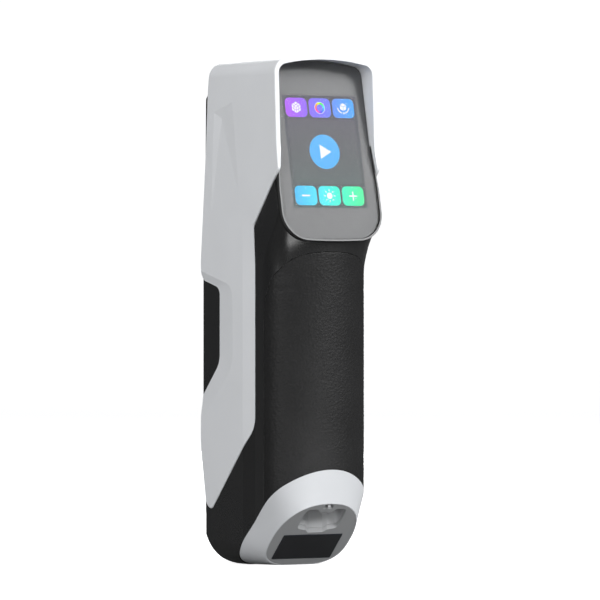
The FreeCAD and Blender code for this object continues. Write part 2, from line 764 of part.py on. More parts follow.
def glass_tape():
    low, high = -GLASS_THICK - TAPE_THICK, -GLASS_THICK - FACE_GAP
    tape = screen_layer(GLASS_INSET + 0.3, low, high, SIDE_CLEAR + 0.4)
    opening = rectangle(LCD_HALF[0] + 0.5, LCD_HALF[1] + 0.5, 1.0, LCD_SHIFT_X, 0.0)
    return tape.cut(on_screen(plan_prism(opening, -10, 1)))


def lcd_panel():
    top = -GLASS_THICK - TAPE_THICK
    return on_screen(plan_prism(rectangle(*LCD_HALF, 0.6, LCD_SHIFT_X, 0.0), top - LCD_THICK, top))


def lcd_back_w():
    return -GLASS_THICK - TAPE_THICK - LCD_THICK - FACE_GAP


def lcd_bracket():
    """Pressed tray behind the panel: flat back with turned-in side lips."""
    back = lcd_back_w()
    tray = plan_prism(rectangle(18.6, 26.0, 1.5, LCD_SHIFT_X, 0.0), back - 0.6, back)
    tray = tray.cut(plan_prism(rectangle(12.0, 18.0, 3.0, LCD_SHIFT_X, 4.0), -20, 10))
    lips = []
    for sx in (-1, 1):
        x = LCD_SHIFT_X + sx * 18.3
        lips.append(box(x - 0.3, x + 0.3, -20, 20, back - 3.2, back - 0.3))
    return on_screen(fuse_all([tray] + lips))


def display_flex():
    start = on_screen(Part.Vertex(0, -24.0, lcd_back_w() - 0.6)).Point
    path = [
        (start.y, start.z),
        (start.y + 8.0, start.z - 6.0),
        (BOARD_Y[0] - 4.0, 136.0),
        (BOARD_Y[0] - 0.25, 136.0),
    ]
    return ribbon(path, 0.2, -6.0, 6.0)


# ---------------------------------------------------------------- optics
def window(z_range):
    outer = side_prism(BODY_SIDE, -40, 40).cut(side_prism(BODY_SIDE, -40, 40, -WINDOW_THICK))
    return outer.common(front_prism(span(WINDOW_HALF_W, z_range, 6.0), 20, 60))


def optics_mask(z_range, holes):
    plate = front_prism(span(19.6, (z_range[0] + 0.3, z_range[1] - 0.6), 4.0), *MASK_Y)
    return cut_all(plate, [rod_y(r, x, z, 20, 40) for r, x, z in holes])


def optical_frame():
    rail = box(-FRAME_HALF_W, FRAME_HALF_W, *FRAME_Y, 27.0, 196.0)
    windows = []
    for z0, z1 in ((28.5 + 5, 50.0), (77.0, 91.0), (101.0, 117.0), (154.5, 166.0), (178.0, 190.0)):
        middle = (z0 + z1) / 2
        windows.append(front_prism(rectangle(5.6, (z1 - z0) / 2, 2.5, 0.0, middle), 10, 20))
    rail = cut_all(rail, windows)
    pads = []
    for z in (LOWER_CAMERA_Z, COLOUR_CAMERA_Z, UPPER_CAMERA_Z):
        for sx in (-1, 1):
            for sz in (-1, 1):
                pads.append(rod_y(1.6, sx * 8.2, z + sz * 8.2, FRAME_Y[1] - 0.5, CAMERA_BOARD_Y[0]))
    rail = fuse_all([rail] + pads)
    holes = [rod_y(1.15, x, z, 10, 20) for x, z in frame_screw_places()]
    holes += [rod_y(1.15, sx * STANDOFF_X, z, 10, 20) for sx in (-1, 1) for z in STANDOFF_Z]
    return cut_all(rail, holes)


def camera_board(z):
    return front_prism(rectangle(11.0, 10.6, 1.5, 0.0, z), *CAMERA_BOARD_Y)


def lens_holder(z):
    block = front_prism(rectangle(7.4, 7.4, 1.5, 0.0, z), CAMERA_BOARD_Y[1], 25.4)
    return block.cut(rod_y(5.1, 0, z, CAMERA_BOARD_Y[1] + 0.8, 30))


def camera_lens(z):
    profile = [(0, 22.0), (5.0, 22.0), (5.0, 25.6), (7.0, 25.6), (7.0, 30.4), (6.5, 30.9)]
    profile += [(5.4, 30.9), (4.2, 29.2), (0, 29.2)]
    return turned_y(profile, 0, z)


def lens_glass(z):
    """Front lens element: a shallow dome on a flat back."""
    radius = 9.0
    rim = 4.1
    sag = radius - math.sqrt(radius ** 2 - rim ** 2)
    disc = rod_y(rim, 0, z, 29.2, 29.2 + 1.3)
    dome = Part.makeSphere(radius, Vector(0, 29.2 + 0.4 + sag - radius, z))
    return disc.common(dome)


def light_ring_board(z):
    return ring_y(RING_OUTER_R, RING_INNER_R, 0, z, 27.4, 28.4)


def light_ring_leds(z):
    leds = []
    for i in range(8):
        angle = 2 * math.pi * i / 8
        x = 10.15 * math.cos(angle)
        led_z = z + 10.15 * math.sin(angle)
        leds.append(box(x - 1.1, x + 1.1, 28.4, 29.3, led_z - 1.1, led_z + 1.1))
    return leds


def light_ring_diffuser(z):
    profile = [(RING_INNER_R, 29.6), (RING_OUTER_R, 29.6), (RING_OUTER_R, 31.0)]
    profile += [(11.9, 31.5), (8.4, 31.5), (RING_INNER_R, 31.0)]
    return turned_y(profile, 0, z)


def speckle_projector():
    profile = [(0, 17.62), (6.6, 17.62), (6.6, 19.4), (6.0, 19.4)]
    for i in range(3):
        y = 20.4 + 1.8 * i
        profile += [(6.0, y), (6.6, y), (6.6, y + 0.8), (6.0, y + 0.8)]
    profile += [(6.0, 27.4), (4.6, 28.6), (4.6, 31.2), (3.6, 31.2), (3.0, 30.0), (0, 30.0)]
    return turned_y(profile, 0, PROJECTOR_Z)


def laser_module(x):
    profile = [(0, 19.0), (3.0, 19.0), (3.0, 28.8), (2.2, 29.4)]
    profile += [(2.2, 30.8), (1.4, 30.8), (1.4, 29.9), (0, 29.9)]
    return turned_y(profile, x, LASER_Z)


def laser_block():
    block = front_prism(rectangle(12.0, 3.9, 1.0, 0.0, LASER_Z), FRAME_Y[1] + 0.02, 26.0)
    return cut_all(block, [rod_y(3.06, sx * LASER_X, LASER_Z, 18.95, 40) for sx in (-1, 1)])


# ---------------------------------------------------------------- electronics
def main_board():
    board = front_prism(span(BOARD_HALF_W, BOARD_Z, 1.5), *BOARD_Y)
    return cut_all(board, [rod_y(1.2, sx * STANDOFF_X, z, 0, 6) for sx in (-1, 1) for z in STANDOFF_Z])


def board_standoffs():
    posts = []
    for sx in (-1, 1):
        for z in STANDOFF_Z:
            post = front_prism(hexagon(2.3, sx * STANDOFF_X, z), BOARD_Y[1], FRAME_Y[0])
            posts.append(post.cut(rod_y(1.05, sx * STANDOFF_X, z, BOARD_Y[1] - 1, FRAME_Y[0] + 1)))
    return posts


def screw_y(x, z, seat_y, head_r, head_h, shank_r, shank_l, facing):
    """Pan-head screw along Y; facing is +1 when its shank points towards +Y."""
    head = rod_y(head_r, x, z, min(seat_y, seat_y - facing * head_h), max(seat_y, seat_y - facing * head_h))
    rim = [e for e in head.Edges if abs(e.BoundBox.YMin - (seat_y - facing * head_h)) < 1e-4]
    head = head.makeFillet(head_h * 0.45, [e for e in rim if e.BoundBox.YLength < 1e-4])
    end = seat_y + facing * shank_l
    shank = rod_y(shank_r, x, z, min(seat_y, end), max(seat_y, end))
    socket_end = seat_y - facing * head_h * 0.35
    tip = seat_y - facing * (head_h + 0.5)
    socket = front_prism(hexagon(head_r * 0.5, x, z), min(socket_end, tip), max(socket_end, tip))
    return head.fuse(shank).cut(socket)


def case_screws():
    places = [(sx * CASE_SCREW_X, z) for sx in (-1, 1) for z in CASE_SCREW_Z]
    return [screw_y(x, z, 33.0, 2.2, 1.7, 1.2, 17.8, -1) for x, z in places]


def threaded_inserts():
    """Brass inserts pressed into the rear housing, with a groove round the middle."""
    inserts = []
    for sx in (-1, 1):
        for z in CASE_SCREW_Z:
            profile = [(1.3, 12.0), (1.9, 12.0), (1.9, 14.2), (1.65, 14.4), (1.65, 15.4), (1.9, 15.6)]
            profile += [(1.9, 17.9), (1.3, 17.9)]
            inserts.append(turned_y(profile, sx * CASE_SCREW_X, z))
    return inserts


def frame_screws():
    return [screw_y(x, z, FRAME_Y[0], 1.9, 1.3, 0.9, 11.0, 1) for x, z in frame_screw_places()]


def board_screws():
    places = [(sx * STANDOFF_X, z) for sx in (-1, 1) for z in STANDOFF_Z]
    return [screw_y(x, z, BOARD_Y[0], 1.9, 1.3, 1.0, 6.0, 1) for x, z in places]


def processor():
    return box(-7, 7, BOARD_Y[0] - 1.2, BOARD_Y[0], 103, 117)


def memory_chips():
    return [box(-5.0, 4.0, BOARD_Y[0] - 1.0, BOARD_Y[0], z, z + 11.0) for z in (121.0, 156.0)]


def thermal_pad():
    return box(-7, 7, BOARD_Y[0] - 2.0, BOARD_Y[0] - 1.2, 103, 117)


def heat_sink():
    top = BOARD_Y[0] - 2.0
    base = box(-11, 11, top - 1.6, top, 99.5, 119.5)
    fins = [box(x - 0.5, x + 0.5, top - 8.0, top - 1.5, 99.5, 119.5) for x in range(-10, 11, 4)]
    return fuse_all([base] + fins)


def board_connectors():
    shells = []
    for z in (60.0, 72.0, 180.0):
        shells.append(box(-8.0, 2.0, BOARD_Y[0] - 2.4, BOARD_Y[0], z, z + 4.0))
    return shells


def camera_flexes():
    x = -10.9
    return [box(x, x + 0.2, BOARD_Y[1], CAMERA_BOARD_Y[0], z - 2.4, z + 2.4)
            for z in (LOWER_CAMERA_Z + 7.5, COLOUR_CAMERA_Z, UPPER_CAMERA_Z)]


def socket_board():
    return plan_prism(rectangle(10.4, 4.8, 1.5, 0.0, -21.0), BAY_TOP_Z + 0.02, BAY_TOP_Z + 1.6)


def cable_socket():
    """Oval receptacle under the socket board: a shroud with a tongue of contacts inside."""
    shroud = plan_prism(rectangle(7.0, 2.2, 2.1, 0.0, -23.6), 26.5, BAY_TOP_Z)
    inside = plan_prism(rectangle(6.4, 1.6, 1.5, 0.0, -23.6), 20, BAY_TOP_Z - 1.5)
    tongue = box(-5.2, 5.2, -23.95, -23.25, 28.0, BAY_TOP_Z - 1.0)
    return shroud.cut(inside).fuse(tongue)


def power_harness():
    path = [(-16.5, BAY_TOP_Z + 1.6), (-12.0, 47.0), (-4.0, 50.0), (BOARD_Y[0] - 1.2, 50.0)]
    return [ribbon(path, 0.9, x, x + 0.9) for x in (-2.6, -1.3, 0.0, 1.3)]


# ---------------------------------------------------------------- moving pieces
def scan_button():
    """Cap in the finger notch with a retaining flange and a stem to the switch."""
    cap = front_prism(rectangle(*BUTTON_HALF, 6.0, 0.0, BUTTON_Z), 32.2, 35.7)
    dish = Part.makeCylinder(60.0, 40.0, Vector(-20, 35.0 + 60.0, BUTTON_Z), Vector(1, 0, 0))
    cap = cap.cut(dish)
    brim = rectangle(BUTTON_HALF[0] + 1.3, BUTTON_HALF[1] + 1.3, 7.2, 0.0, BUTTON_Z)
    flange = front_prism(brim, 31.2, 32.2)
    stem = rod_y(1.6, 0, BUTTON_Z, 28.2, 31.4)
    return fuse_all([cap, flange, stem])


def button_switch():
    body = front_prism(rectangle(3.1, 3.1, 0.5, 0.0, BUTTON_Z), 23.4, 26.0)
    return body.fuse(rod_y(1.5, 0, BUTTON_Z, 25.9, 28.2 - BUTTON_TRAVEL - 0.15))


def button_board():
    return front_prism(rectangle(9.0, 11.0, 1.0, 0.0, BUTTON_Z), 21.8, 23.4)


def button_posts():
    return [rod_y(1.8, 0, BUTTON_Z + sz * 8.6, FRAME_Y[1] - 0.0, 21.8) for sz in (-1, 1)]


def cable_latch():
    """Sprung catch behind the slot: a thumb bar that lifts to free the plug."""
    bar = box(-0.55, 0.55, LATCH_Y[0], LATCH_Y[1], 25.4, LATCH_HEAD_Z[1])
    head = box(-2.0, 2.0, LATCH_Y[0], LATCH_Y[1] + 0.35, *LATCH_HEAD_Z)
    pin = rod_z(0.3, 0, LATCH_SPRING_Y, LATCH_HEAD_Z[1] - 0.1, LATCH_HEAD_Z[1] + 1.6)
    return fuse_all([bar, head, pin])


def latch_guide():
    """Channel that keeps the catch in line; its roof holds the spring."""
    block = box(-3.4, 3.4, -30.25, -28.45, 25.0, LATCH_ROOF_Z + 1.2)
    channel = box(-2.05, 2.05, LATCH_Y[0] - 0.05, LATCH_Y[1] + 0.4, 20, LATCH_ROOF_Z)
    return block.cut(channel).cut(port_halfspace(PORT_PLATE_THICK + 0.05))


def latch_spring():
    """Small compression spring between the catch and the channel's roof."""
    wire_r = 0.12
    coil_r = 0.55
    turns = 6
    low = LATCH_HEAD_Z[1] + 0.02 + wire_r
    rise = LATCH_ROOF_Z - 0.02 - wire_r - low
    helix = Part.makeHelix(rise / turns, rise, coil_r)
    start = Part.Wire(Part.makeCircle(wire_r, Vector(coil_r, 0, 0), Vector(0, 1, rise / turns / 6)))
    coil = Part.Wire(helix.Edges).makePipeShell([start], True, True)
    coil.translate(Vector(0, LATCH_SPRING_Y, low))
    return coil


# ---------------------------------------------------------------- output
def build_nodes():
    upper_holes = [
        (7.4, 0, UPPER_CAMERA_Z),
        (RING_OUTER_R + 0.2, 0, COLOUR_CAMERA_Z),
        (4.9, 0, PROJECTOR_Z),
    ]
    lower_holes = [
        (RING_OUTER_R + 0.2, 0, LOWER_CAMERA_Z),
        (2.5, -LASER_X, LASER_Z),
        (2.5, LASER_X, LASER_Z),
    ]
    rings = (LOWER_CAMERA_Z, COLOUR_CAMERA_Z)
    cameras = (LOWER_CAMERA_Z, COLOUR_CAMERA_Z, UPPER_CAMERA_Z)
    return {
        "outer_shell": [outer_shell()],
        "rear_housing": [rear_housing()],
        "front_housing": [front_housing()],
        "grip_overmould": [grip_overmould()],
        "bottom_collar": [bottom_collar()],
        "port_plate": [port_plate()],
        "name_plate": [name_plate()],
        "plug_bay": [plug_bay()],
        "screen_bezel": [screen_bezel()],
        "screen_trim": [screen_trim()],
        "screen_glass": [screen_glass()],
        "glass_tape": [glass_tape()],
        "lcd_panel": [lcd_panel()],
        "lcd_bracket": [lcd_bracket()],
        "display_flex": [display_flex()],
        "upper_window": [window(UPPER_WINDOW_Z)],
        "lower_window": [window(LOWER_WINDOW_Z)],
        "upper_optics_mask": [optics_mask(UPPER_WINDOW_Z, upper_holes)],
        "lower_optics_mask": [optics_mask(LOWER_WINDOW_Z, lower_holes)],
        "optical_frame": [optical_frame()],
        "upper_camera_board": [camera_board(UPPER_CAMERA_Z)],
        "lower_camera_board": [camera_board(LOWER_CAMERA_Z)],
        "colour_camera_board": [camera_board(COLOUR_CAMERA_Z)],
        "lens_holders": [lens_holder(z) for z in cameras],
        "upper_camera_lens": [camera_lens(UPPER_CAMERA_Z)],
        "lower_camera_lens": [camera_lens(LOWER_CAMERA_Z)],
        "colour_camera_lens": [camera_lens(COLOUR_CAMERA_Z)],
        "front_lens_elements": [lens_glass(z) for z in cameras],
        "light_ring_boards": [light_ring_board(z) for z in rings],
        "light_ring_leds": [led for z in rings for led in light_ring_leds(z)],
        "light_ring_diffusers": [light_ring_diffuser(z) for z in rings],
        "speckle_projector": [speckle_projector()],
        "laser_modules": [laser_module(sx * LASER_X) for sx in (-1, 1)],
        "laser_block": [laser_block()],
        "main_board": [main_board()],
        "board_standoffs": board_standoffs(),
        "board_screws": board_screws(),
        "processor": [processor()],
        "memory_chips": memory_chips(),
        "thermal_pad": [thermal_pad()],
        "heat_sink": [heat_sink()],
        "board_connectors": board_connectors(),
        "camera_flexes": camera_flexes(),
        "socket_board": [socket_board()],
        "cable_socket": [cable_socket()],
        "power_harness": power_harness(),
        "case_screws": case_screws(),
        "threaded_inserts": threaded_inserts(),
        "frame_screws": frame_screws(),
        "scan_button": [scan_button()],
        "button_switch": [button_switch()],
        "button_board": [button_board()],
        "button_posts": button_posts(),
        "cable_latch": [cable_latch()],
        "latch_guide": [latch_guide()],
        "latch_spring": [latch_spring()],
    }


def main():
    os.makedirs("parts", exist_ok=True)
    for name, shapes in build_nodes().items():
        solids = [solid for shape in shapes for solid in shape.Solids]
        shape = solids[0] if len(solids) == 1 else Part.makeCompound(solids)
        shape.exportStep("parts/" + name + ".step")
        b = shape.BoundBox
        print("%-22s solids %2d of %2d  vol %9.1f  valid %s  X %.1f..%.1f Y %.1f..%.1f Z %.1f..%.1f" % (
            name, len(solids), len(shapes), shape.Volume, shape.isValid(),
            b.XMin, b.XMax, b.YMin, b.YMax, b.ZMin, b.ZMax))


main()
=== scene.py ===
"""Looks of the handheld 3-D scanner: materials, leather-grained grip, lit display, studio.

Lengths called ..._MM are millimetres; everything handed to Blender is metres.
"""

import math

import bmesh
import bpy
import numpy as np
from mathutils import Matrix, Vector, noise

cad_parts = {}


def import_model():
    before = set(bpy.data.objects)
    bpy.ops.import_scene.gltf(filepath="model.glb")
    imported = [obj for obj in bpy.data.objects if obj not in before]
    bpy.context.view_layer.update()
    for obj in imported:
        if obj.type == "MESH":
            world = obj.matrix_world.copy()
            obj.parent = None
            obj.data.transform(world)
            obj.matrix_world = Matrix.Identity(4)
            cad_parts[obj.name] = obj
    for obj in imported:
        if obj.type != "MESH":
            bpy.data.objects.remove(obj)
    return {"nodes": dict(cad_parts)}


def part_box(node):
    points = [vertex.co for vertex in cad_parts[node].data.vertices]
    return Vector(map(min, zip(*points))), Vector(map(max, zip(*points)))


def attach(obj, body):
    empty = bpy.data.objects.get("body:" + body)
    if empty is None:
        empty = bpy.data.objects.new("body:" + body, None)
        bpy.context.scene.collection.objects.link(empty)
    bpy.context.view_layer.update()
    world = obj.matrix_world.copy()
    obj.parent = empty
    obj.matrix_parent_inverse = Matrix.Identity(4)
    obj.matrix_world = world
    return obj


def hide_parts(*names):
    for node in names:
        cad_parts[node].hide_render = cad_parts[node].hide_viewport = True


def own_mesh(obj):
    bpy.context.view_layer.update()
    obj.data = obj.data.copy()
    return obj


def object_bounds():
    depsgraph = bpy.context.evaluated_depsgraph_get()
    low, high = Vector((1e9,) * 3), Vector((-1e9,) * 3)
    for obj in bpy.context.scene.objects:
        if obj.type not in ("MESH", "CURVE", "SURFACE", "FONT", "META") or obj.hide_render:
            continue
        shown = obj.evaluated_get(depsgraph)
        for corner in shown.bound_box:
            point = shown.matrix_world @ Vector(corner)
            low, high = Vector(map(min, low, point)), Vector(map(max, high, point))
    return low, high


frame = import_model()
start_low, start_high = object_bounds()

MM = 0.001
NODES = frame["nodes"]

# ---------------------------------------------------------------- driving values
CAMERA_AZIMUTH = -31.8
CAMERA_ELEVATION = -0.1
CAMERA_DISTANCE = 2.152
CAMERA_LENS = 301.7
CAMERA_AIM_OFFSET = Vector((0.0028, -0.0023, 0.0046))   # from the middle of the object

ACTIVE_HALF_MM = (18.36, 24.48)      # lit area of the display
TILE_HALF_MM = (5.4, 4.22)
TILE_PITCH_MM = 11.75
TILE_ROW_MM = 19.15                  # middle of a row of tiles from the display's middle
TILE_CORNER_MM = 2.2
GLASS_PRINT_MM = 0.3                 # height of the glass's printed underside above the panel
ANTIREFLECTION = 0.12                # share of the usual reflection left by the glass's coating
UI_LAYERS_MM = ((0.010, 0.018), (0.028, 0.036), (0.046, 0.054))   # undersides and tops above the panel
PLAY_DISC_MM = 7.5

GRAIN_CELL_MM = (1.5, 1.5, 0.7)      # wrinkle of the rubber's leather grain, wider than tall
GRAIN_HEIGHT_MM = 0.14
GRAIN_SLOPE = 2.6                    # how fast a wrinkle rises from its groove
GRAIN_LEVEL = 0.6                    # share of a wrinkle's height that lies below the pad's own face
OUTER_FACING = 0.3                   # how squarely a face looks outwards before it takes grain
CRACKLE_MM = 0.7
GRIP_VOXEL_MM = 0.34

FLOOR_BOUNCE = 0.22                  # paper seen by the lamps' light; the camera sees it paler
PAPER_LIFT = 0.78                    # extra brightness of the paper for the camera
ROOM_LEVEL = 0.19
SWEEP_DEPTH = 3.0                    # level floor behind and in front of the object, metres
SWEEP_RADIUS = 1.2
SWEEP_TOP = 3.5
SWEEP_HALF_WIDTH = 4.0
SWEEP_STEPS = 12
FLOOR_GAP = 0.00005
GLINT = "neck_glint"                 # small card that only shows as a reflection in the neck
LAMPS = [                            # name, place from the object's middle, aim height, size, watts
    ("key", (0.95, -1.6, 1.05), 0.0, (1.0, 1.0), 49.0),
    ("left_key", (-0.75, -0.35, 0.6), 0.0, (0.5, 0.5), 2.2),
    ("left_strip", (-1.9, -0.95, 0.2), 0.0, (0.4, 1.8), 25.0),
    ("top", (-0.2, 0.2, 1.8), 0.5, (1.4, 1.0), 6.0),
    ("right_rim", (0.9, 1.4, 0.2), 0.0, (0.8, 1.6), 10.0),
    (GLINT, (-0.015, -0.14, -0.0985), 0.12, (0.09, 0.07), 0.14),
]
COOL = (0.98, 1.0, 1.02)             # slight blue tint of the grey parts
WORN_EDGE_MM = 0.35                  # width of the rubbed line along a moulding's edges


def linear(code):
    """Linear RGBA of a hex colour."""
    channels = []
    for i in (0, 2, 4):
        value = int(code[i:i + 2], 16) / 255
        value = value / 12.92 if value <= 0.04045 else ((value + 0.055) / 1.055) ** 2.4
        channels.append(value)
    return (*channels, 1.0)


def grey(value, tint=(1.0, 1.0, 1.0)):
    return (value * tint[0], value * tint[1], value * tint[2], 1.0)


def scaled(colour, factor):
    return (colour[0] * factor, colour[1] * factor, colour[2] * factor, 1.0)


# ---------------------------------------------------------------- shader toolkit
class Shader:
    """A node material being built; each call adds a node and returns its output socket."""

    def __init__(self, name):
        self.material = bpy.data.materials.new(name)
        self.material.use_nodes = True
        self.tree = self.material.node_tree
        self.tree.nodes.clear()
        self.output = self.tree.nodes.new("ShaderNodeOutputMaterial")
        self.place = self.add("ShaderNodeTexCoord").outputs["Object"]

    def add(self, kind, inputs=None, **settings):
        node = self.tree.nodes.new(kind)
        for key, value in settings.items():
            setattr(node, key, value)
        for key, value in (inputs or {}).items():
            socket = node.inputs[key]
            if isinstance(value, bpy.types.NodeSocket):
                self.tree.links.new(value, socket)
            else:
                socket.default_value = value
        return node

    def math(self, operation, a, b=0.0):
        return self.add("ShaderNodeMath", {0: a, 1: b}, operation=operation).outputs[0]

    def span(self, value, low, high, to_low=0.0, to_high=1.0):
        inputs = {"Value": value, "From Min": low, "From Max": high, "To Min": to_low, "To Max": to_high}
        return self.add("ShaderNodeMapRange", inputs).outputs[0]

    def noise(self, size_mm, detail=2.0, roughness=0.5, place=None):
        inputs = {"Vector": place or self.place, "Scale": 1 / (size_mm * MM)}
        inputs.update({"Detail": detail, "Roughness": roughness})
        return self.add("ShaderNodeTexNoise", inputs).outputs[0]

    def cells(self, size_mm, feature="F1", output="Distance"):
        inputs = {"Vector": self.place, "Scale": 1 / (size_mm * MM)}
        return self.add("ShaderNodeTexVoronoi", inputs, feature=feature).outputs[output]

    def stretched(self, scale):
        return self.add("ShaderNodeMapping", {"Vector": self.place, "Scale": scale}).outputs[0]

    def ramp(self, value, stops):
        node = self.add("ShaderNodeValToRGB", {"Fac": value})
        elements = node.color_ramp.elements
        while len(elements) < len(stops):
            elements.new(0.5)
        for element, (position, colour) in zip(elements, stops):
            element.position = position
            element.color = colour
        return node.outputs[0]

    def mix(self, share, a, b):
        node = self.add("ShaderNodeMix", data_type="RGBA")
        for socket, value in zip((node.inputs[0], node.inputs[6], node.inputs[7]), (share, a, b)):
            if isinstance(value, bpy.types.NodeSocket):
                self.tree.links.new(value, socket)
            else:
                socket.default_value = value
        return node.outputs[2]

    def blend_shaders(self, share, a, b):
        return self.add("ShaderNodeMixShader", {0: share, 1: a, 2: b}).outputs[0]

    def bump(self, height, depth_mm, strength=1.0, normal=None):
        inputs = {"Height": height, "Distance": depth_mm * MM, "Strength": strength}
        if normal is not None:
            inputs["Normal"] = normal
        return self.add("ShaderNodeBump", inputs).outputs[0]

    def bevel(self, radius_mm):
        return self.add("ShaderNodeBevel", {"Radius": radius_mm * MM}, samples=4).outputs[0]

    def dot(self, a, b):
        return self.add("ShaderNodeVectorMath", {0: a, 1: b}, operation="DOT_PRODUCT").outputs["Value"]

    def normal(self):
        return self.add("ShaderNodeNewGeometry").outputs["Normal"]

    def edge(self, radius_mm, low=0.02, high=0.35):
        """About 1 along edges, 0 on open faces."""
        level = self.dot(self.bevel(radius_mm), self.normal())
        return self.span(self.math("SUBTRACT", 1.0, level), low, high)

    def outer_mirror(self, smear, rough, index):
        """Mirror shader for a clear pane and its Fresnel share, which is 0 seen from inside the glass."""
        gloss = self.span(smear, 0.3, 0.7, *rough)
        mirror = self.add("ShaderNodeBsdfGlossy", {"Color": grey(1.0), "Roughness": gloss}).outputs[0]
        backfacing = self.add("ShaderNodeNewGeometry").outputs["Backfacing"]
        fresnel = self.add("ShaderNodeFresnel", {"IOR": index}).outputs[0]
        return mirror, self.math("MULTIPLY", fresnel, self.math("SUBTRACT", 1.0, backfacing))

    def principled(self, **inputs):
        named = {key.replace("_", " "): value for key, value in inputs.items()}
        return self.add("ShaderNodeBsdfPrincipled", named).outputs[0]

    def finish(self, surface):
        self.tree.links.new(surface, self.output.inputs["Surface"])
        return self.material

    def axis(self, direction, origin):
        """Distance along a direction from a point, in metres."""
        offset = self.add("ShaderNodeVectorMath", {0: self.place, 1: tuple(origin)}, operation="SUBTRACT")
        return self.dot(offset.outputs[0], tuple(direction))


# ---------------------------------------------------------------- material families
def moulded(name, colour, roughness, grain_mm, grain_depth_mm, drift, worn, coat, shine):
    """Moulded plastic: spark-eroded grain, slow drift of tone and gloss, rubbed edges."""
    s = Shader(name)
    slow = s.noise(28.0, 3.0)
    fine = s.noise(grain_mm, 3.0, 0.6)
    tone = s.mix(s.span(slow, 0.3, 0.7), scaled(colour, 1 - drift), scaled(colour, 1 + drift))
    rubbed = s.math("MULTIPLY", s.edge(WORN_EDGE_MM), s.span(s.noise(6.0, 4.0), 0.35, 0.75, 0.2, 1.0))
    lighter = [min(1.0, c * 1.3 + 0.012) for c in colour[:3]] + [1.0]
    tone = s.mix(s.math("MULTIPLY", rubbed, worn), tone, lighter)
    gloss = s.math("ADD", s.span(fine, 0.25, 0.75, roughness - 0.04, roughness + 0.05),
                   s.span(slow, 0.3, 0.7, -0.03, 0.03))
    normal = s.bump(fine, grain_depth_mm, 0.7, s.bevel(WORN_EDGE_MM * 0.5))
    return s.finish(s.principled(Base_Color=tone, Roughness=gloss, Normal=normal, Coat_Weight=coat,
                                 Coat_Roughness=0.2, Specular_IOR_Level=shine))


def metal(name, colour, roughness, brushed, pitted):
    """Metal with drifting polish; brushed draws the marks out along one axis."""
    s = Shader(name)
    place = s.stretched(brushed) if brushed else s.place
    marks = s.noise(0.25, 4.0, 0.65, place)
    stain = s.noise(5.0, 3.0)
    tone = s.mix(s.span(stain, 0.3, 0.75), scaled(colour, 0.84), colour)
    gloss = s.span(marks, 0.25, 0.75, roughness * 0.75, roughness * 1.35)
    height = s.math("ADD", marks, s.math("MULTIPLY", s.noise(0.6, 2.0), pitted))
    normal = s.bump(height, 0.006, 0.5)
    return s.finish(s.principled(Base_Color=tone, Metallic=1.0, Roughness=gloss, Normal=normal))


def circuit_board(name, mask, trace):
    """Solder mask over copper traces that run across or along patch by patch, with plated dots."""
    s = Shader(name)
    parts = s.add("ShaderNodeSeparateXYZ", {0: s.place})
    patch = s.add("ShaderNodeSeparateColor", {0: s.cells(4.0, "F1", "Color")})
    stripes = []
    for axis in ("X", "Z"):
        wave = s.math("FRACT", s.math("DIVIDE", parts.outputs[axis], 0.9 * MM))
        stripes.append(s.math("LESS_THAN", wave, 0.42))
    chosen = s.math("GREATER_THAN", patch.outputs[0], 0.5)
    lines = s.mix(chosen, stripes[0], stripes[1])
    routed = s.math("MULTIPLY", lines, s.math("GREATER_THAN", patch.outputs[1], 0.35))
    base = s.mix(routed, mask, trace)
    dots = s.math("LESS_THAN", s.cells(2.2), 0.16)
    base = s.mix(dots, base, (0.72, 0.62, 0.38, 1.0))
    normal = s.bump(routed, 0.02, 0.6)
    gloss = s.span(s.noise(1.0), 0.3, 0.7, 0.28, 0.42)
    return s.finish(s.principled(Base_Color=base, Metallic=dots, Roughness=gloss, Normal=normal))


def clear_window(name, tint):
    """Tinted flat window: lets light through unbent and mirrors the room at its surface."""
    s = Shader(name)
    smear = s.noise(9.0, 4.0)
    shade = s.mix(s.span(smear, 0.3, 0.7), scaled(tint, 0.92), tint)
    through = s.add("ShaderNodeBsdfTransparent", {"Color": shade}).outputs[0]
    mirror, share = s.outer_mirror(smear, (0.024, 0.064), 1.5)
    return s.finish(s.blend_shaders(share, through, mirror))


def coated_lens(name):
    """Lens element: bluish purple coating over dark glass."""
    s = Shader(name)
    facing = s.add("ShaderNodeLayerWeight", {"Blend": 0.35}).outputs["Facing"]
    tone = s.ramp(facing, [(0.0, (0.006, 0.004, 0.02, 1)), (0.35, (0.05, 0.015, 0.16, 1)),
                           (0.75, (0.02, 0.10, 0.14, 1)), (1.0, (0.08, 0.14, 0.10, 1))])
    dust = s.span(s.noise(0.8, 4.0), 0.55, 0.8, 0.03, 0.09)
    lens = s.principled(Base_Color=tone, Roughness=dust, IOR=1.7, Coat_Weight=1.0, Coat_Roughness=0.02)
    return s.finish(lens)


def rubber(name, colour):
    """Soft-touch rubber; the leather wrinkles are geometry, this adds their fine crackle, its grooves
    darkened as painted shade.
    """
    s = Shader(name)
    crackle = s.cells(CRACKLE_MM, "DISTANCE_TO_EDGE")
    pores = s.noise(0.22, 3.0, 0.6)
    slow = s.noise(24.0, 3.0)
    tone = s.mix(s.span(slow, 0.3, 0.7), scaled(colour, 0.8), scaled(colour, 1.25))
    # grooves of the crackle go near black: painted shade in the creases
    tone = s.mix(s.span(crackle, 0.0, 0.12, 0.35, 0.0), tone, grey(0.008))
    height = s.math("ADD", s.span(crackle, 0.0, 0.2), s.math("MULTIPLY", pores, 0.35))
    gloss = s.span(pores, 0.2, 0.8, 0.44, 0.58)
    return s.finish(s.principled(Base_Color=tone, Roughness=gloss, Normal=s.bump(height, 0.04, 0.6),
                                 Specular_IOR_Level=0.2, Sheen_Weight=0.02, Sheen_Roughness=0.5))


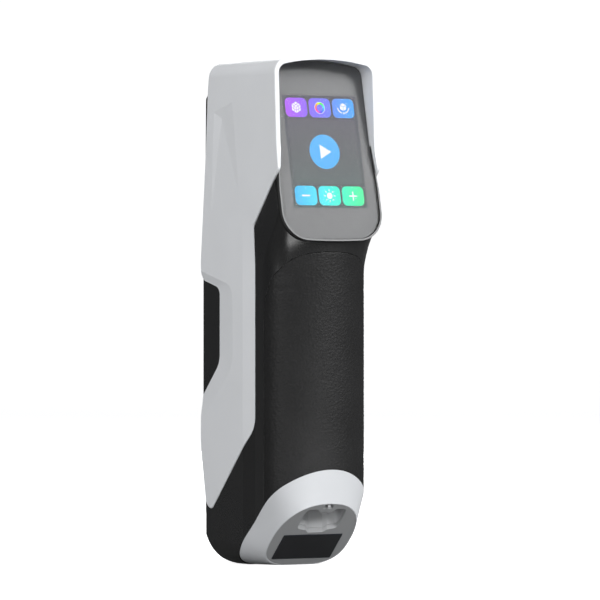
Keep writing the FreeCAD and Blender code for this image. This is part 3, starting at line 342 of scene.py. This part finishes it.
def film(name, colour):
    """Printed polyester label: glossy face, paler cut edge, hairline scratches."""
    s = Shader(name)
    scratches = s.noise(0.5, 2.0, 0.5, s.stretched((0.15, 1.0, 1.0)))
    tone = s.mix(s.span(s.noise(14.0), 0.3, 0.7), colour, scaled(colour, 1.3))
    tone = s.mix(s.math("MULTIPLY", s.edge(0.28, 0.01, 0.2), 0.7), tone, (0.10, 0.13, 0.18, 1.0))
    gloss = s.span(scratches, 0.3, 0.8, 0.34, 0.38)
    return s.finish(s.principled(Base_Color=tone, Roughness=gloss, Normal=s.bump(scratches, 0.0004, 0.2)))


def translucent_plastic(name, colour):
    s = Shader(name)
    cloud = s.noise(1.6, 3.0)
    tone = s.mix(s.span(cloud, 0.3, 0.7), scaled(colour, 0.93), colour)
    return s.finish(s.principled(Base_Color=tone, Roughness=s.span(cloud, 0.3, 0.7, 0.28, 0.4),
                                 Subsurface_Weight=0.15, Subsurface_Scale=0.001))


def polyimide(name):
    """Flat cable film: amber with darker copper runs along it."""
    s = Shader(name)
    across = s.add("ShaderNodeSeparateXYZ", {0: s.place}).outputs["X"]
    runs = s.math("LESS_THAN", s.math("FRACT", s.math("DIVIDE", across, 0.6 * MM)), 0.5)
    tone = s.mix(runs, (0.60, 0.27, 0.05, 1.0), (0.38, 0.15, 0.04, 1.0))
    tone = s.mix(s.span(s.noise(3.0), 0.3, 0.7, 0.0, 0.3), tone, (0.75, 0.42, 0.12, 1.0))
    normal = s.bump(runs, 0.01, 0.5)
    return s.finish(s.principled(Base_Color=tone, Roughness=0.32, Coat_Weight=0.4, Normal=normal))


def lit(name, paint, sheen):
    """Self-lit display layer; paint gets the shader and returns its colour, sheen is the share of skin."""
    s = Shader(name)
    colour = paint(s)
    dots = s.noise(0.18, 1.0)
    colour = s.mix(s.span(dots, 0.3, 0.7, 0.0, 0.012), colour, grey(0.0))
    glow = s.add("ShaderNodeEmission", {"Color": colour, "Strength": 1.0}).outputs[0]
    skin = s.principled(Base_Color=grey(0.02), Roughness=s.span(dots, 0.3, 0.7, 0.3, 0.4))
    return s.finish(s.blend_shaders(sheen, glow, skin))


# ---------------------------------------------------------------- display plane
class ScreenPlane:
    """Middle of the display panel's face and its directions: right, up the screen, out."""

    def __init__(self, node):
        mesh = NODES[node].data
        out = Vector((0, 0, 0))
        for face in mesh.polygons:
            if face.normal.y < -0.9:
                out += face.normal * face.area
        self.out = out.normalized()
        self.right = Vector((1, 0, 0))
        self.up = self.out.cross(self.right)
        along = [[v.co.dot(axis) for v in mesh.vertices] for axis in (self.right, self.up, self.out)]
        middle_u = (min(along[0]) + max(along[0])) / 2
        middle_v = (min(along[1]) + max(along[1])) / 2
        self.centre = self.right * middle_u + self.up * middle_v + self.out * max(along[2])

    def at(self, u_mm, v_mm, w_mm=0.0):
        return self.centre + (self.right * u_mm + self.up * v_mm + self.out * w_mm) * MM


PLANE = ScreenPlane("lcd_panel")


def screen_share(s, axis, half_mm):
    """0 at one side of the lit area, 1 at the other."""
    return s.span(s.axis(axis, PLANE.centre), -half_mm * MM, half_mm * MM)


def glass_material():
    """Cover glass: clear, with a grey border printed on its underside around the lit area."""
    s = Shader("screen_glass_look")
    inside = None
    for axis, half in ((PLANE.right, ACTIVE_HALF_MM[0]), (PLANE.up, ACTIVE_HALF_MM[1])):
        within = s.math("LESS_THAN", s.math("ABSOLUTE", s.axis(axis, PLANE.centre)), half * MM)
        inside = within if inside is None else s.math("MULTIPLY", inside, within)
    underside = s.math("LESS_THAN", s.axis(PLANE.out, PLANE.centre), GLASS_PRINT_MM * MM)
    printed = s.math("MULTIPLY", underside, s.math("SUBTRACT", 1.0, inside))
    cloud = s.noise(30.0, 2.0)
    smear = s.noise(11.0, 4.0)
    ink = s.mix(s.span(cloud, 0.3, 0.7), grey(0.137, COOL), grey(0.147, COOL))
    border = s.principled(Base_Color=ink, Roughness=0.6, Specular_IOR_Level=0.2)
    through = s.add("ShaderNodeBsdfTransparent", {"Color": grey(0.99)}).outputs[0]
    mirror, share = s.outer_mirror(smear, (0.10, 0.16), 1.45)
    window = s.blend_shaders(s.math("MULTIPLY", share, ANTIREFLECTION), through, mirror)
    return s.finish(s.blend_shaders(printed, window, border))


def trim_material():
    """Grey ring that frames the glass; its sides are coloured black as painted shade, keeping the lamps'
    light off them.
    """
    s = Shader("screen_trim_look")
    face = s.span(s.dot(s.normal(), tuple(PLANE.out)), 0.3, 0.7)
    speck = s.noise(0.4, 3.0)
    paint = s.mix(s.span(speck, 0.3, 0.7), grey(0.135, COOL), grey(0.148, COOL))
    # black on the sides: painted shade, not paint on the real ring
    tone = s.mix(face, grey(0.03), paint)
    gloss = s.span(speck, 0.3, 0.7, 0.4, 0.5)
    normal = s.bump(speck, 0.002, 0.5, s.bevel(0.15))
    return s.finish(s.principled(Base_Color=tone, Roughness=gloss, Normal=normal))


def hex_ramp(s, share, stops):
    return s.ramp(share, [(position, linear(code)) for position, code in stops])


def up_screen(s):
    return screen_share(s, PLANE.up, ACTIVE_HALF_MM[1])


def across_screen(s):
    return screen_share(s, PLANE.right, ACTIVE_HALF_MM[0])


def backlight_colour(s):
    """Dark screen background: bluish at the top, greener at the bottom, dimmer at its rim."""
    return hex_ramp(s, up_screen(s), [(0.0, "5c6868"), (0.3, "616567"), (0.7, "5f6067"), (1.0, "5b5a64")])


def panel_colour(s):
    return hex_ramp(s, up_screen(s), [(0.15, "646f6f"), (0.5, "676a6d"), (0.82, "686770")])


def top_tile_colour(s):
    stops = [
        (0.03, "bb64ff"), (0.32, "9b72ff"), (0.37, "8f76ff"),
        (0.63, "7a88ff"), (0.68, "6b9aff"), (0.97, "57b0ff"),
    ]
    return hex_ramp(s, across_screen(s), stops)


def bottom_tile_colour(s):
    stops = [
        (0.03, "55c4ff"), (0.32, "59e6ff"), (0.37, "59f0ff"),
        (0.63, "4dffdd"), (0.68, "4dffcf"), (0.97, "5bffa8"),
    ]
    return hex_ramp(s, across_screen(s), stops)


def play_colour(s):
    return s.mix(screen_share(s, PLANE.up, 8.0), linear("5db9ff"), linear("62bbff"))


def white_colour(s):
    return s.mix(up_screen(s), linear("f6fbff"), linear("ffffff"))


def rainbow_colour(s):
    """Hue runs round the ring's middle."""
    middle = PLANE.at(0.0, TILE_ROW_MM)
    u = s.axis(PLANE.right, middle)
    v = s.axis(PLANE.up, middle)
    turn = s.span(s.math("ARCTAN2", v, u), -math.pi, math.pi)
    stops = [
        (0.0, "ff4f6a"), (0.14, "ff58c8"), (0.28, "5a4bff"), (0.42, "4b9dff"), (0.52, "3cf0ff"),
        (0.62, "3dff8a"), (0.72, "6cff3c"), (0.80, "f4ff3c"), (0.90, "ff9c3c"), (1.0, "ff4f6a"),
    ]
    return hex_ramp(s, turn, stops)


# ---------------------------------------------------------------- flat display shapes
def rounded_rectangle(u, v, half_u, half_v, radius):
    steps = 6
    points = []
    for quarter, (su, sv) in enumerate(((1, 1), (-1, 1), (-1, -1), (1, -1))):
        for i in range(steps + 1):
            angle = math.pi / 2 * (quarter + i / steps)
            corner_u = u + su * (half_u - radius)
            corner_v = v + sv * (half_v - radius)
            points.append((corner_u + radius * math.cos(angle), corner_v + radius * math.sin(angle)))
    return points


def arc(u, v, radius, steps, start, sweep):
    angles = [start + sweep * i / steps for i in range(steps + 1)]
    return [(u + radius * math.cos(angle), v + radius * math.sin(angle)) for angle in angles]


def circle(u, v, radius, steps=40):
    return arc(u, v, radius, steps, 0.0, 2 * math.pi)[:-1]


def stroke(a, b, width):
    """Bar with rounded ends from a to b."""
    lean = math.atan2(b[1] - a[1], b[0] - a[0])
    points = arc(*b, width / 2, 6, lean - math.pi / 2, math.pi)
    return points + arc(*a, width / 2, 6, lean + math.pi / 2, math.pi)


def arc_band(u, v, radius, width, start_deg, sweep_deg):
    start = math.radians(start_deg)
    sweep = math.radians(sweep_deg)
    outer = arc(u, v, radius + width / 2, 14, start, sweep)
    inner = arc(u, v, radius - width / 2, 14, start, sweep)
    return outer + inner[::-1]


def shrink(points, share):
    mean_u = sum(p[0] for p in points) / len(points)
    mean_v = sum(p[1] for p in points) / len(points)
    return [(mean_u + (p[0] - mean_u) * share, mean_v + (p[1] - mean_v) * share) for p in points]


def sheet(name, shapes, layer, material):
    """Closed thin plates just above the display panel; a shape is a loop or an (outer, inner) pair."""
    low, high = UI_LAYERS_MM[layer]
    bm = bmesh.new()
    for shape in shapes:
        loops = shape if isinstance(shape, tuple) else (shape,)
        rings = []
        for w in (low, high):
            rings.append([[bm.verts.new(PLANE.at(u, v, w)) for u, v in loop] for loop in loops])
        count = len(loops[0])
        for k in range(len(loops)):
            for i in range(count):
                j = (i + 1) % count
                bm.faces.new((rings[0][k][i], rings[0][k][j], rings[1][k][j], rings[1][k][i]))
        for level in rings:
            if len(loops) == 1:
                bm.faces.new(level[0])
                continue
            for i in range(count):
                j = (i + 1) % count
                bm.faces.new((level[0][i], level[0][j], level[1][j], level[1][i]))
    bmesh.ops.recalc_face_normals(bm, faces=bm.faces)
    mesh = bpy.data.meshes.new(name)
    bm.to_mesh(mesh)
    bm.free()
    mesh.materials.append(material)
    piece = bpy.data.objects.new(name, mesh)
    bpy.context.scene.collection.objects.link(piece)
    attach(piece, "body")


def tile_middles(row):
    return [(column * TILE_PITCH_MM, row * TILE_ROW_MM) for column in (-1, 0, 1)]


def cube_faces(u, v, size):
    """Three faces of a cube seen corner on, as parallelogram corner lists."""
    def corner(turn):
        angle = math.radians(turn)
        return (u + size * math.cos(angle), v + size * math.sin(angle))
    hexagon = [corner(turn) for turn in (90, 150, 210, 270, 330, 30)]
    middle = (u, v)
    return [
        [middle, hexagon[5], hexagon[0], hexagon[1]],
        [middle, hexagon[1], hexagon[2], hexagon[3]],
        [middle, hexagon[3], hexagon[4], hexagon[5]],
    ]


def split_face(face, parts, share):
    """Cells of a parallelogram, each shrunk to leave grooves."""
    origin = Vector(face[0])
    along = (Vector(face[1]) - origin) / parts
    across = (Vector(face[3]) - origin) / parts
    cells = []
    for i in range(parts):
        for j in range(parts):
            corners = ((i, j), (i + 1, j), (i + 1, j + 1), (i, j + 1))
            cells.append(shrink([tuple(origin + along * a + across * b) for a, b in corners], share))
    return cells


def grid_cube_icon(u, v):
    cells = []
    for face in cube_faces(u, v, 2.6):
        cells += split_face(face, 2, 0.8)
    return cells


def turning_cube_icon(u, v):
    """Cube over two arc arrows that turn round it."""
    shapes = [shrink(face, 0.86) for face in cube_faces(u, v + 0.6, 1.85)]
    shapes += [arc_band(u, v + 0.7, 2.85, 0.42, start, 62) for start in (190, 288)]
    shapes.append([(u - 0.1, v - 1.5), (u + 0.75, v - 2.12), (u - 0.1, v - 2.8)])
    return shapes


def sun_icon(u, v):
    shapes = [circle(u, v, 1.4)]
    for k in range(8):
        ray = Vector((math.cos(k * math.pi / 4), math.sin(k * math.pi / 4)))
        near, far = (Vector((u, v)) + ray * reach for reach in (2.15, 2.65))
        shapes.append(stroke(tuple(near), tuple(far), 0.4))
    return shapes


def bar_icons(u, v, width, directions):
    """Minus for one direction, plus for two."""
    bars = []
    for du, dv in directions:
        reach_u, reach_v = 1.7 * du, 1.7 * dv
        bars.append(stroke((u - reach_u, v - reach_v), (u + reach_u, v + reach_v), width))
    return bars


def display_picture():
    """Tiles, play button and their icons on the lit panel."""
    rows = {
        "ui_tiles_top": (1, lit("ui_top_look", top_tile_colour, 0.02)),
        "ui_tiles_bottom": (-1, lit("ui_bottom_look", bottom_tile_colour, 0.02)),
    }
    for name, (row, material) in rows.items():
        shapes = [rounded_rectangle(u, v, *TILE_HALF_MM, TILE_CORNER_MM) for u, v in tile_middles(row)]
        sheet(name, shapes, 1, material)
    panel_half_v = TILE_ROW_MM - TILE_HALF_MM[1] - 0.9
    panel = rounded_rectangle(0.0, 0.0, ACTIVE_HALF_MM[0] - 1.5, panel_half_v, 1.6)
    sheet("ui_view_panel", [panel], 0, lit("ui_panel_look", panel_colour, 0.02))
    sheet("ui_play_disc", [circle(0.0, 0.0, PLAY_DISC_MM, 64)], 1, lit("ui_play_look", play_colour, 0.02))
    cube_tile, ring_tile, turn_tile = tile_middles(1)
    minus_tile, sun_tile, plus_tile = tile_middles(-1)
    ring_outer = circle(*ring_tile, 2.38, 48)
    icons = [[(-2.2, -3.1), (3.3, 0.0), (-2.2, 3.1)]]
    icons += grid_cube_icon(*cube_tile)
    icons += turning_cube_icon(*turn_tile)
    icons.append((circle(*ring_tile, 2.55, 48), ring_outer))
    icons += bar_icons(*minus_tile, 0.7, [(1, 0)])
    icons += bar_icons(*plus_tile, 0.6, [(1, 0), (0, 1)])
    icons += sun_icon(*sun_tile)
    sheet("ui_icons", icons, 2, lit("ui_white_look", white_colour, 0.0))
    ring = (ring_outer, circle(*ring_tile, 1.55, 48))
    sheet("ui_colour_ring", [ring], 2, lit("ui_ring_look", rainbow_colour, 0.0))


# ---------------------------------------------------------------- leather-grained grip
def copy_of_node(node, name):
    piece = bpy.data.objects.new(name, NODES[node].data.copy())
    bpy.context.scene.collection.objects.link(piece)
    return piece


def grip_with_grain():
    """Rubber pad rebuilt as a dense mesh whose outer side carries raised wrinkles."""
    piece = copy_of_node("grip_overmould", "grip_leather_rubber")
    remesh = piece.modifiers.new("remesh", "REMESH")
    remesh.mode = "VOXEL"
    remesh.voxel_size = GRIP_VOXEL_MM * MM
    graph = bpy.context.evaluated_depsgraph_get()
    mesh = bpy.data.meshes.new_from_object(piece.evaluated_get(graph))
    piece.modifiers.clear()
    piece.data = mesh
    axis_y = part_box("grip_overmould")[1].y
    count = len(mesh.vertices)
    places = np.empty(count * 3, np.float64)
    mesh.vertices.foreach_get("co", places)
    places = places.reshape(-1, 3)
    normals = np.array([vertex.normal for vertex in mesh.vertices])
    outward = np.stack([places[:, 0], places[:, 1] - axis_y, np.zeros(count)], axis=1)
    outward /= np.linalg.norm(outward, axis=1)[:, None]
    facing = (normals * outward).sum(1)
    rise = np.zeros(count)
    grain_scale = np.array([1 / (cell * MM) for cell in GRAIN_CELL_MM])
    for i in np.nonzero(facing > OUTER_FACING)[0]:
        near = noise.voronoi(Vector(places[i] * grain_scale))[0]
        wrinkle = min(1.0, (near[1] - near[0]) * GRAIN_SLOPE)
        fade = min(1.0, (facing[i] - OUTER_FACING) * 4)
        rise[i] = (wrinkle - GRAIN_LEVEL) * GRAIN_HEIGHT_MM * MM * fade
    places += normals * rise[:, None]
    mesh.vertices.foreach_set("co", places.ravel())
    mesh.update()
    for face in mesh.polygons:
        face.use_smooth = True
    mesh.materials.clear()
    mesh.materials.append(rubber("grip_rubber_look", grey(0.012, (1.0, 1.0, 1.02))))
    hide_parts("grip_overmould")
    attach(piece, "body")


def catch_spring():
    """Own copy of the catch's spring, attached to the body; the real spring shortens towards its roof as
    the catch lifts.
    """
    piece = copy_of_node("latch_spring", "catch_coil_spring")
    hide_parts("latch_spring")
    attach(piece, "body")
    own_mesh(piece)


# ---------------------------------------------------------------- materials on the CAD nodes
# colour, roughness, grain size and depth in mm, drift of tone, wear on edges, clear coat, shine
MOULDED = {
    "body_black": (grey(0.006, (0.98, 1.0, 1.04)), 0.29, 0.3, 0.003, 0.08, 0.2, 0.0, 0.55),
    "inner_black": (grey(0.008), 0.5, 0.5, 0.01, 0.06, 0.2, 0.0, 0.3),
    "shell_white": ((0.765, 0.78, 0.80, 1.0), 0.36, 0.5, 0.002, 0.012, 0.2, 0.1, 0.5),
    # the shell's white made darker for the collar: painted shade on its downward-facing side
    "collar_shaded_white": ((0.63, 0.645, 0.665, 1.0), 0.5, 0.5, 0.002, 0.012, 0.2, 0.0, 0.25),
    "plate_grey": (grey(0.38, COOL), 0.42, 0.35, 0.004, 0.04, 0.3, 0.0, 0.5),
    # the plate's grey made lighter for the bay: painted light inside the recess
    "bay_grey_painted_light": (grey(0.5, COOL), 0.5, 0.35, 0.004, 0.04, 0.3, 0.0, 0.5),
    "button_grey": (grey(0.10, (1.0, 1.0, 1.02)), 0.4, 0.3, 0.006, 0.06, 0.5, 0.0, 0.5),
    "chip_black": (grey(0.02), 0.5, 0.2, 0.01, 0.06, 0.3, 0.0, 0.5),
    "wire_red": ((0.35, 0.02, 0.02, 1.0), 0.4, 0.4, 0.004, 0.08, 0.2, 0.0, 0.5),
    "thermal_pad": ((0.33, 0.40, 0.47, 1.0), 0.7, 0.3, 0.01, 0.08, 0.1, 0.0, 0.5),
    "tape_black": (grey(0.02), 0.8, 0.25, 0.02, 0.1, 0.0, 0.0, 0.5),
    "mask_black": (grey(0.012), 0.85, 0.3, 0.01, 0.1, 0.1, 0.0, 0.5),
}
# colour, roughness, scale of the polishing marks on x, y and z (low is drawn out), share of pitting
METALS = {
    "screw_steel": (grey(0.62), 0.3, None, 0.0),
    "screw_black": (grey(0.09), 0.36, None, 0.0),
    "sheet_steel": (grey(0.55), 0.34, (0.05, 1.0, 1.0), 0.0),
    "frame_alloy": (grey(0.66), 0.46, None, 0.8),
    "lens_black": (grey(0.045), 0.34, (1.0, 0.08, 1.0), 0.0),
    "heat_sink": (grey(0.05), 0.42, (1.0, 1.0, 0.06), 0.0),
    "brass": ((0.72, 0.55, 0.24, 1.0), 0.26, (1.0, 0.06, 1.0), 0.0),
    "projector_alloy": (grey(0.30), 0.32, (1.0, 0.06, 1.0), 0.0),
}
TRANSLUCENT = {
    "diffuser_white": grey(0.80),
    "connector_white": (0.74, 0.72, 0.66, 1.0),
    "led_white": (0.85, 0.74, 0.30, 1.0),
}
# colour of the solder mask, colour of the tracks under it
BOARDS = {
    "board_green": ((0.012, 0.09, 0.045, 1.0), (0.03, 0.17, 0.08, 1.0)),
    "board_white": (grey(0.70), grey(0.60)),
}
WORN_BY = {
    "shell_white": ["outer_shell"],
    "collar_shaded_white": ["bottom_collar"],
    "body_black": ["rear_housing", "front_housing"],
    "inner_black": ["latch_guide", "screen_bezel", "button_switch", "lens_holders"],
    "plate_grey": ["port_plate", "cable_latch"],
    "bay_grey_painted_light": ["plug_bay"],
    "screen_trim": ["screen_trim"],
    "button_grey": ["scan_button"],
    "screen_glass": ["screen_glass"],
    "label_black": ["name_plate"],
    "tape_black": ["glass_tape"],
    "lcd": ["lcd_panel"],
    "sheet_steel": ["lcd_bracket", "cable_socket"],
    "flex_amber": ["display_flex", "camera_flexes"],
    "window_glass": ["upper_window", "lower_window"],
    "mask_black": ["upper_optics_mask", "lower_optics_mask"],
    "frame_alloy": ["optical_frame", "laser_block"],
    "board_green": [
        "upper_camera_board", "lower_camera_board", "colour_camera_board",
        "main_board", "socket_board", "button_board",
    ],
    "lens_black": ["upper_camera_lens", "lower_camera_lens", "colour_camera_lens"],
    "lens_glass": ["front_lens_elements"],
    "board_white": ["light_ring_boards"],
    "led_white": ["light_ring_leds"],
    "diffuser_white": ["light_ring_diffusers"],
    "projector_alloy": ["speckle_projector"],
    "brass": ["laser_modules", "threaded_inserts"],
    "screw_steel": ["board_screws", "frame_screws", "board_standoffs", "button_posts", "latch_spring"],
    "screw_black": ["case_screws"],
    "chip_black": ["processor", "memory_chips"],
    "thermal_pad": ["thermal_pad"],
    "heat_sink": ["heat_sink"],
    "connector_white": ["board_connectors"],
    "wire_red": ["power_harness"],
}


def look_name(key):
    return key + "_look"


def node_materials():
    looks = {}
    for key, values in MOULDED.items():
        looks[key] = moulded(look_name(key), *values)
    for key, values in METALS.items():
        looks[key] = metal(look_name(key), *values)
    for key, colours in BOARDS.items():
        looks[key] = circuit_board(look_name(key), *colours)
    for key, colour in TRANSLUCENT.items():
        looks[key] = translucent_plastic(look_name(key), colour)
    looks["label_black"] = film(look_name("label_black"), linear("121418"))
    looks["flex_amber"] = polyimide(look_name("flex_amber"))
    looks["window_glass"] = clear_window(look_name("window_glass"), (0.20, 0.205, 0.23, 1.0))
    looks["lens_glass"] = coated_lens(look_name("lens_glass"))
    looks["lcd"] = lit(look_name("lcd"), backlight_colour, 0.03)
    looks["screen_trim"] = trim_material()
    looks["screen_glass"] = glass_material()
    return looks


def dress_nodes():
    looks = node_materials()
    for key, nodes in WORN_BY.items():
        for node in nodes:
            slots = NODES[node].data.materials
            slots.clear()
            slots.append(looks[key])


# ---------------------------------------------------------------- studio
def area_light(name, place, aim, size, power, diffuse):
    """Lamp that the camera doesn't see; without diffuse it shows only in glossy reflections."""
    data = bpy.data.lights.new(name, "AREA")
    data.shape = "RECTANGLE"
    data.size, data.size_y = size
    data.energy = power
    lamp = bpy.data.objects.new(name, data)
    lamp.location = place
    lamp.rotation_mode = "QUATERNION"
    lamp.rotation_quaternion = (aim - place).to_track_quat("-Z", "Y")
    lamp.visible_camera = False
    lamp.visible_diffuse = diffuse
    bpy.context.scene.collection.objects.link(lamp)


def world():
    """White behind the object; a dimmer room with a soft gradient lights it."""
    sky = bpy.data.worlds.new("studio_room")
    sky.use_nodes = True
    tree = sky.node_tree
    tree.nodes.clear()
    out = tree.nodes.new("ShaderNodeOutputWorld")
    seen = tree.nodes.new("ShaderNodeBackground")
    seen.inputs["Color"].default_value = grey(1.0)
    lighting = tree.nodes.new("ShaderNodeBackground")
    ramp = tree.nodes.new("ShaderNodeValToRGB")
    coords = tree.nodes.new("ShaderNodeTexCoord")
    split = tree.nodes.new("ShaderNodeSeparateXYZ")
    fit = tree.nodes.new("ShaderNodeMapRange")
    fit.inputs["From Min"].default_value = -1.0
    tree.links.new(coords.outputs["Generated"], split.inputs[0])
    tree.links.new(split.outputs["Z"], fit.inputs["Value"])
    tree.links.new(fit.outputs[0], ramp.inputs["Fac"])
    ramp.color_ramp.elements[0].color = grey(ROOM_LEVEL * 0.8)
    ramp.color_ramp.elements[1].color = grey(ROOM_LEVEL * 1.15, (0.97, 0.99, 1.03))
    tree.links.new(ramp.outputs[0], lighting.inputs["Color"])
    path = tree.nodes.new("ShaderNodeLightPath")
    mix = tree.nodes.new("ShaderNodeMixShader")
    tree.links.new(path.outputs["Is Camera Ray"], mix.inputs[0])
    tree.links.new(lighting.outputs[0], mix.inputs[1])
    tree.links.new(seen.outputs[0], mix.inputs[2])
    tree.links.new(mix.outputs[0], out.inputs["Surface"])
    bpy.context.scene.world = sky


def floor_and_backdrop():
    """Pale sweep: level floor that curves up far behind the object."""
    profile = [(-SWEEP_DEPTH, 0.0), (SWEEP_DEPTH, 0.0)]
    for i in range(1, SWEEP_STEPS + 1):
        angle = math.pi / 2 * i / SWEEP_STEPS
        run = SWEEP_DEPTH + SWEEP_RADIUS * math.sin(angle)
        profile.append((run, SWEEP_RADIUS * (1 - math.cos(angle))))
    profile.append((SWEEP_DEPTH + SWEEP_RADIUS, SWEEP_TOP))
    yaw = math.radians(CAMERA_AZIMUTH)
    ahead = Vector((-math.sin(yaw), math.cos(yaw), 0))
    side = Vector((ahead.y, -ahead.x, 0)) * SWEEP_HALF_WIDTH
    bm = bmesh.new()
    rows = []
    for run, z in profile:
        middle = ahead * run + Vector((0, 0, z - FLOOR_GAP))
        rows.append([bm.verts.new(middle + side * sign) for sign in (-1, 1)])
    for a, b in zip(rows, rows[1:]):
        face = bm.faces.new((a[0], a[1], b[1], b[0]))
        face.smooth = True
    bmesh.ops.recalc_face_normals(bm, faces=bm.faces)
    mesh = bpy.data.meshes.new("studio_sweep")
    bm.to_mesh(mesh)
    bm.free()
    s = Shader("studio_paper")
    tooth = s.noise(2.0, 3.0)
    seen = s.principled(Base_Color=s.mix(tooth, grey(0.86), grey(0.88)), Roughness=0.9)
    lift = s.add("ShaderNodeEmission", {"Color": grey(1.0), "Strength": PAPER_LIFT}).outputs[0]
    bright = s.add("ShaderNodeAddShader", {0: seen, 1: lift}).outputs[0]
    dim = s.principled(Base_Color=grey(FLOOR_BOUNCE), Roughness=0.9)
    path = s.add("ShaderNodeLightPath").outputs["Is Camera Ray"]
    mesh.materials.append(s.finish(s.blend_shaders(path, dim, bright)))
    sweep = bpy.data.objects.new("studio_sweep", mesh)
    bpy.context.scene.collection.objects.link(sweep)


def camera(middle):
    data = bpy.data.cameras.new("camera")
    data.lens = CAMERA_LENS
    data.sensor_width = 36.0
    data.clip_end = 100.0
    yaw = math.radians(CAMERA_AZIMUTH)
    pitch = math.radians(CAMERA_ELEVATION)
    back = Vector((math.sin(yaw) * math.cos(pitch), -math.cos(yaw) * math.cos(pitch), math.sin(pitch)))
    eye = bpy.data.objects.new("camera", data)
    eye.location = middle + CAMERA_AIM_OFFSET + back * CAMERA_DISTANCE
    eye.rotation_mode = "QUATERNION"
    eye.rotation_quaternion = (-back).to_track_quat("-Z", "Y")
    bpy.context.scene.collection.objects.link(eye)
    bpy.context.scene.camera = eye


def studio():
    middle = (start_low + start_high) / 2
    height = (start_high - start_low).z
    for name, offset, aim_share, size, power in LAMPS:
        aim = middle + Vector((0, 0, height * aim_share))
        area_light(name, middle + Vector(offset), aim, size, power, name != GLINT)
    world()
    floor_and_backdrop()
    camera(middle)
    bpy.context.scene.view_settings.view_transform = "Standard"
    bpy.context.scene.view_settings.look = "None"


dress_nodes()
grip_with_grain()
catch_spring()
display_picture()
studio()
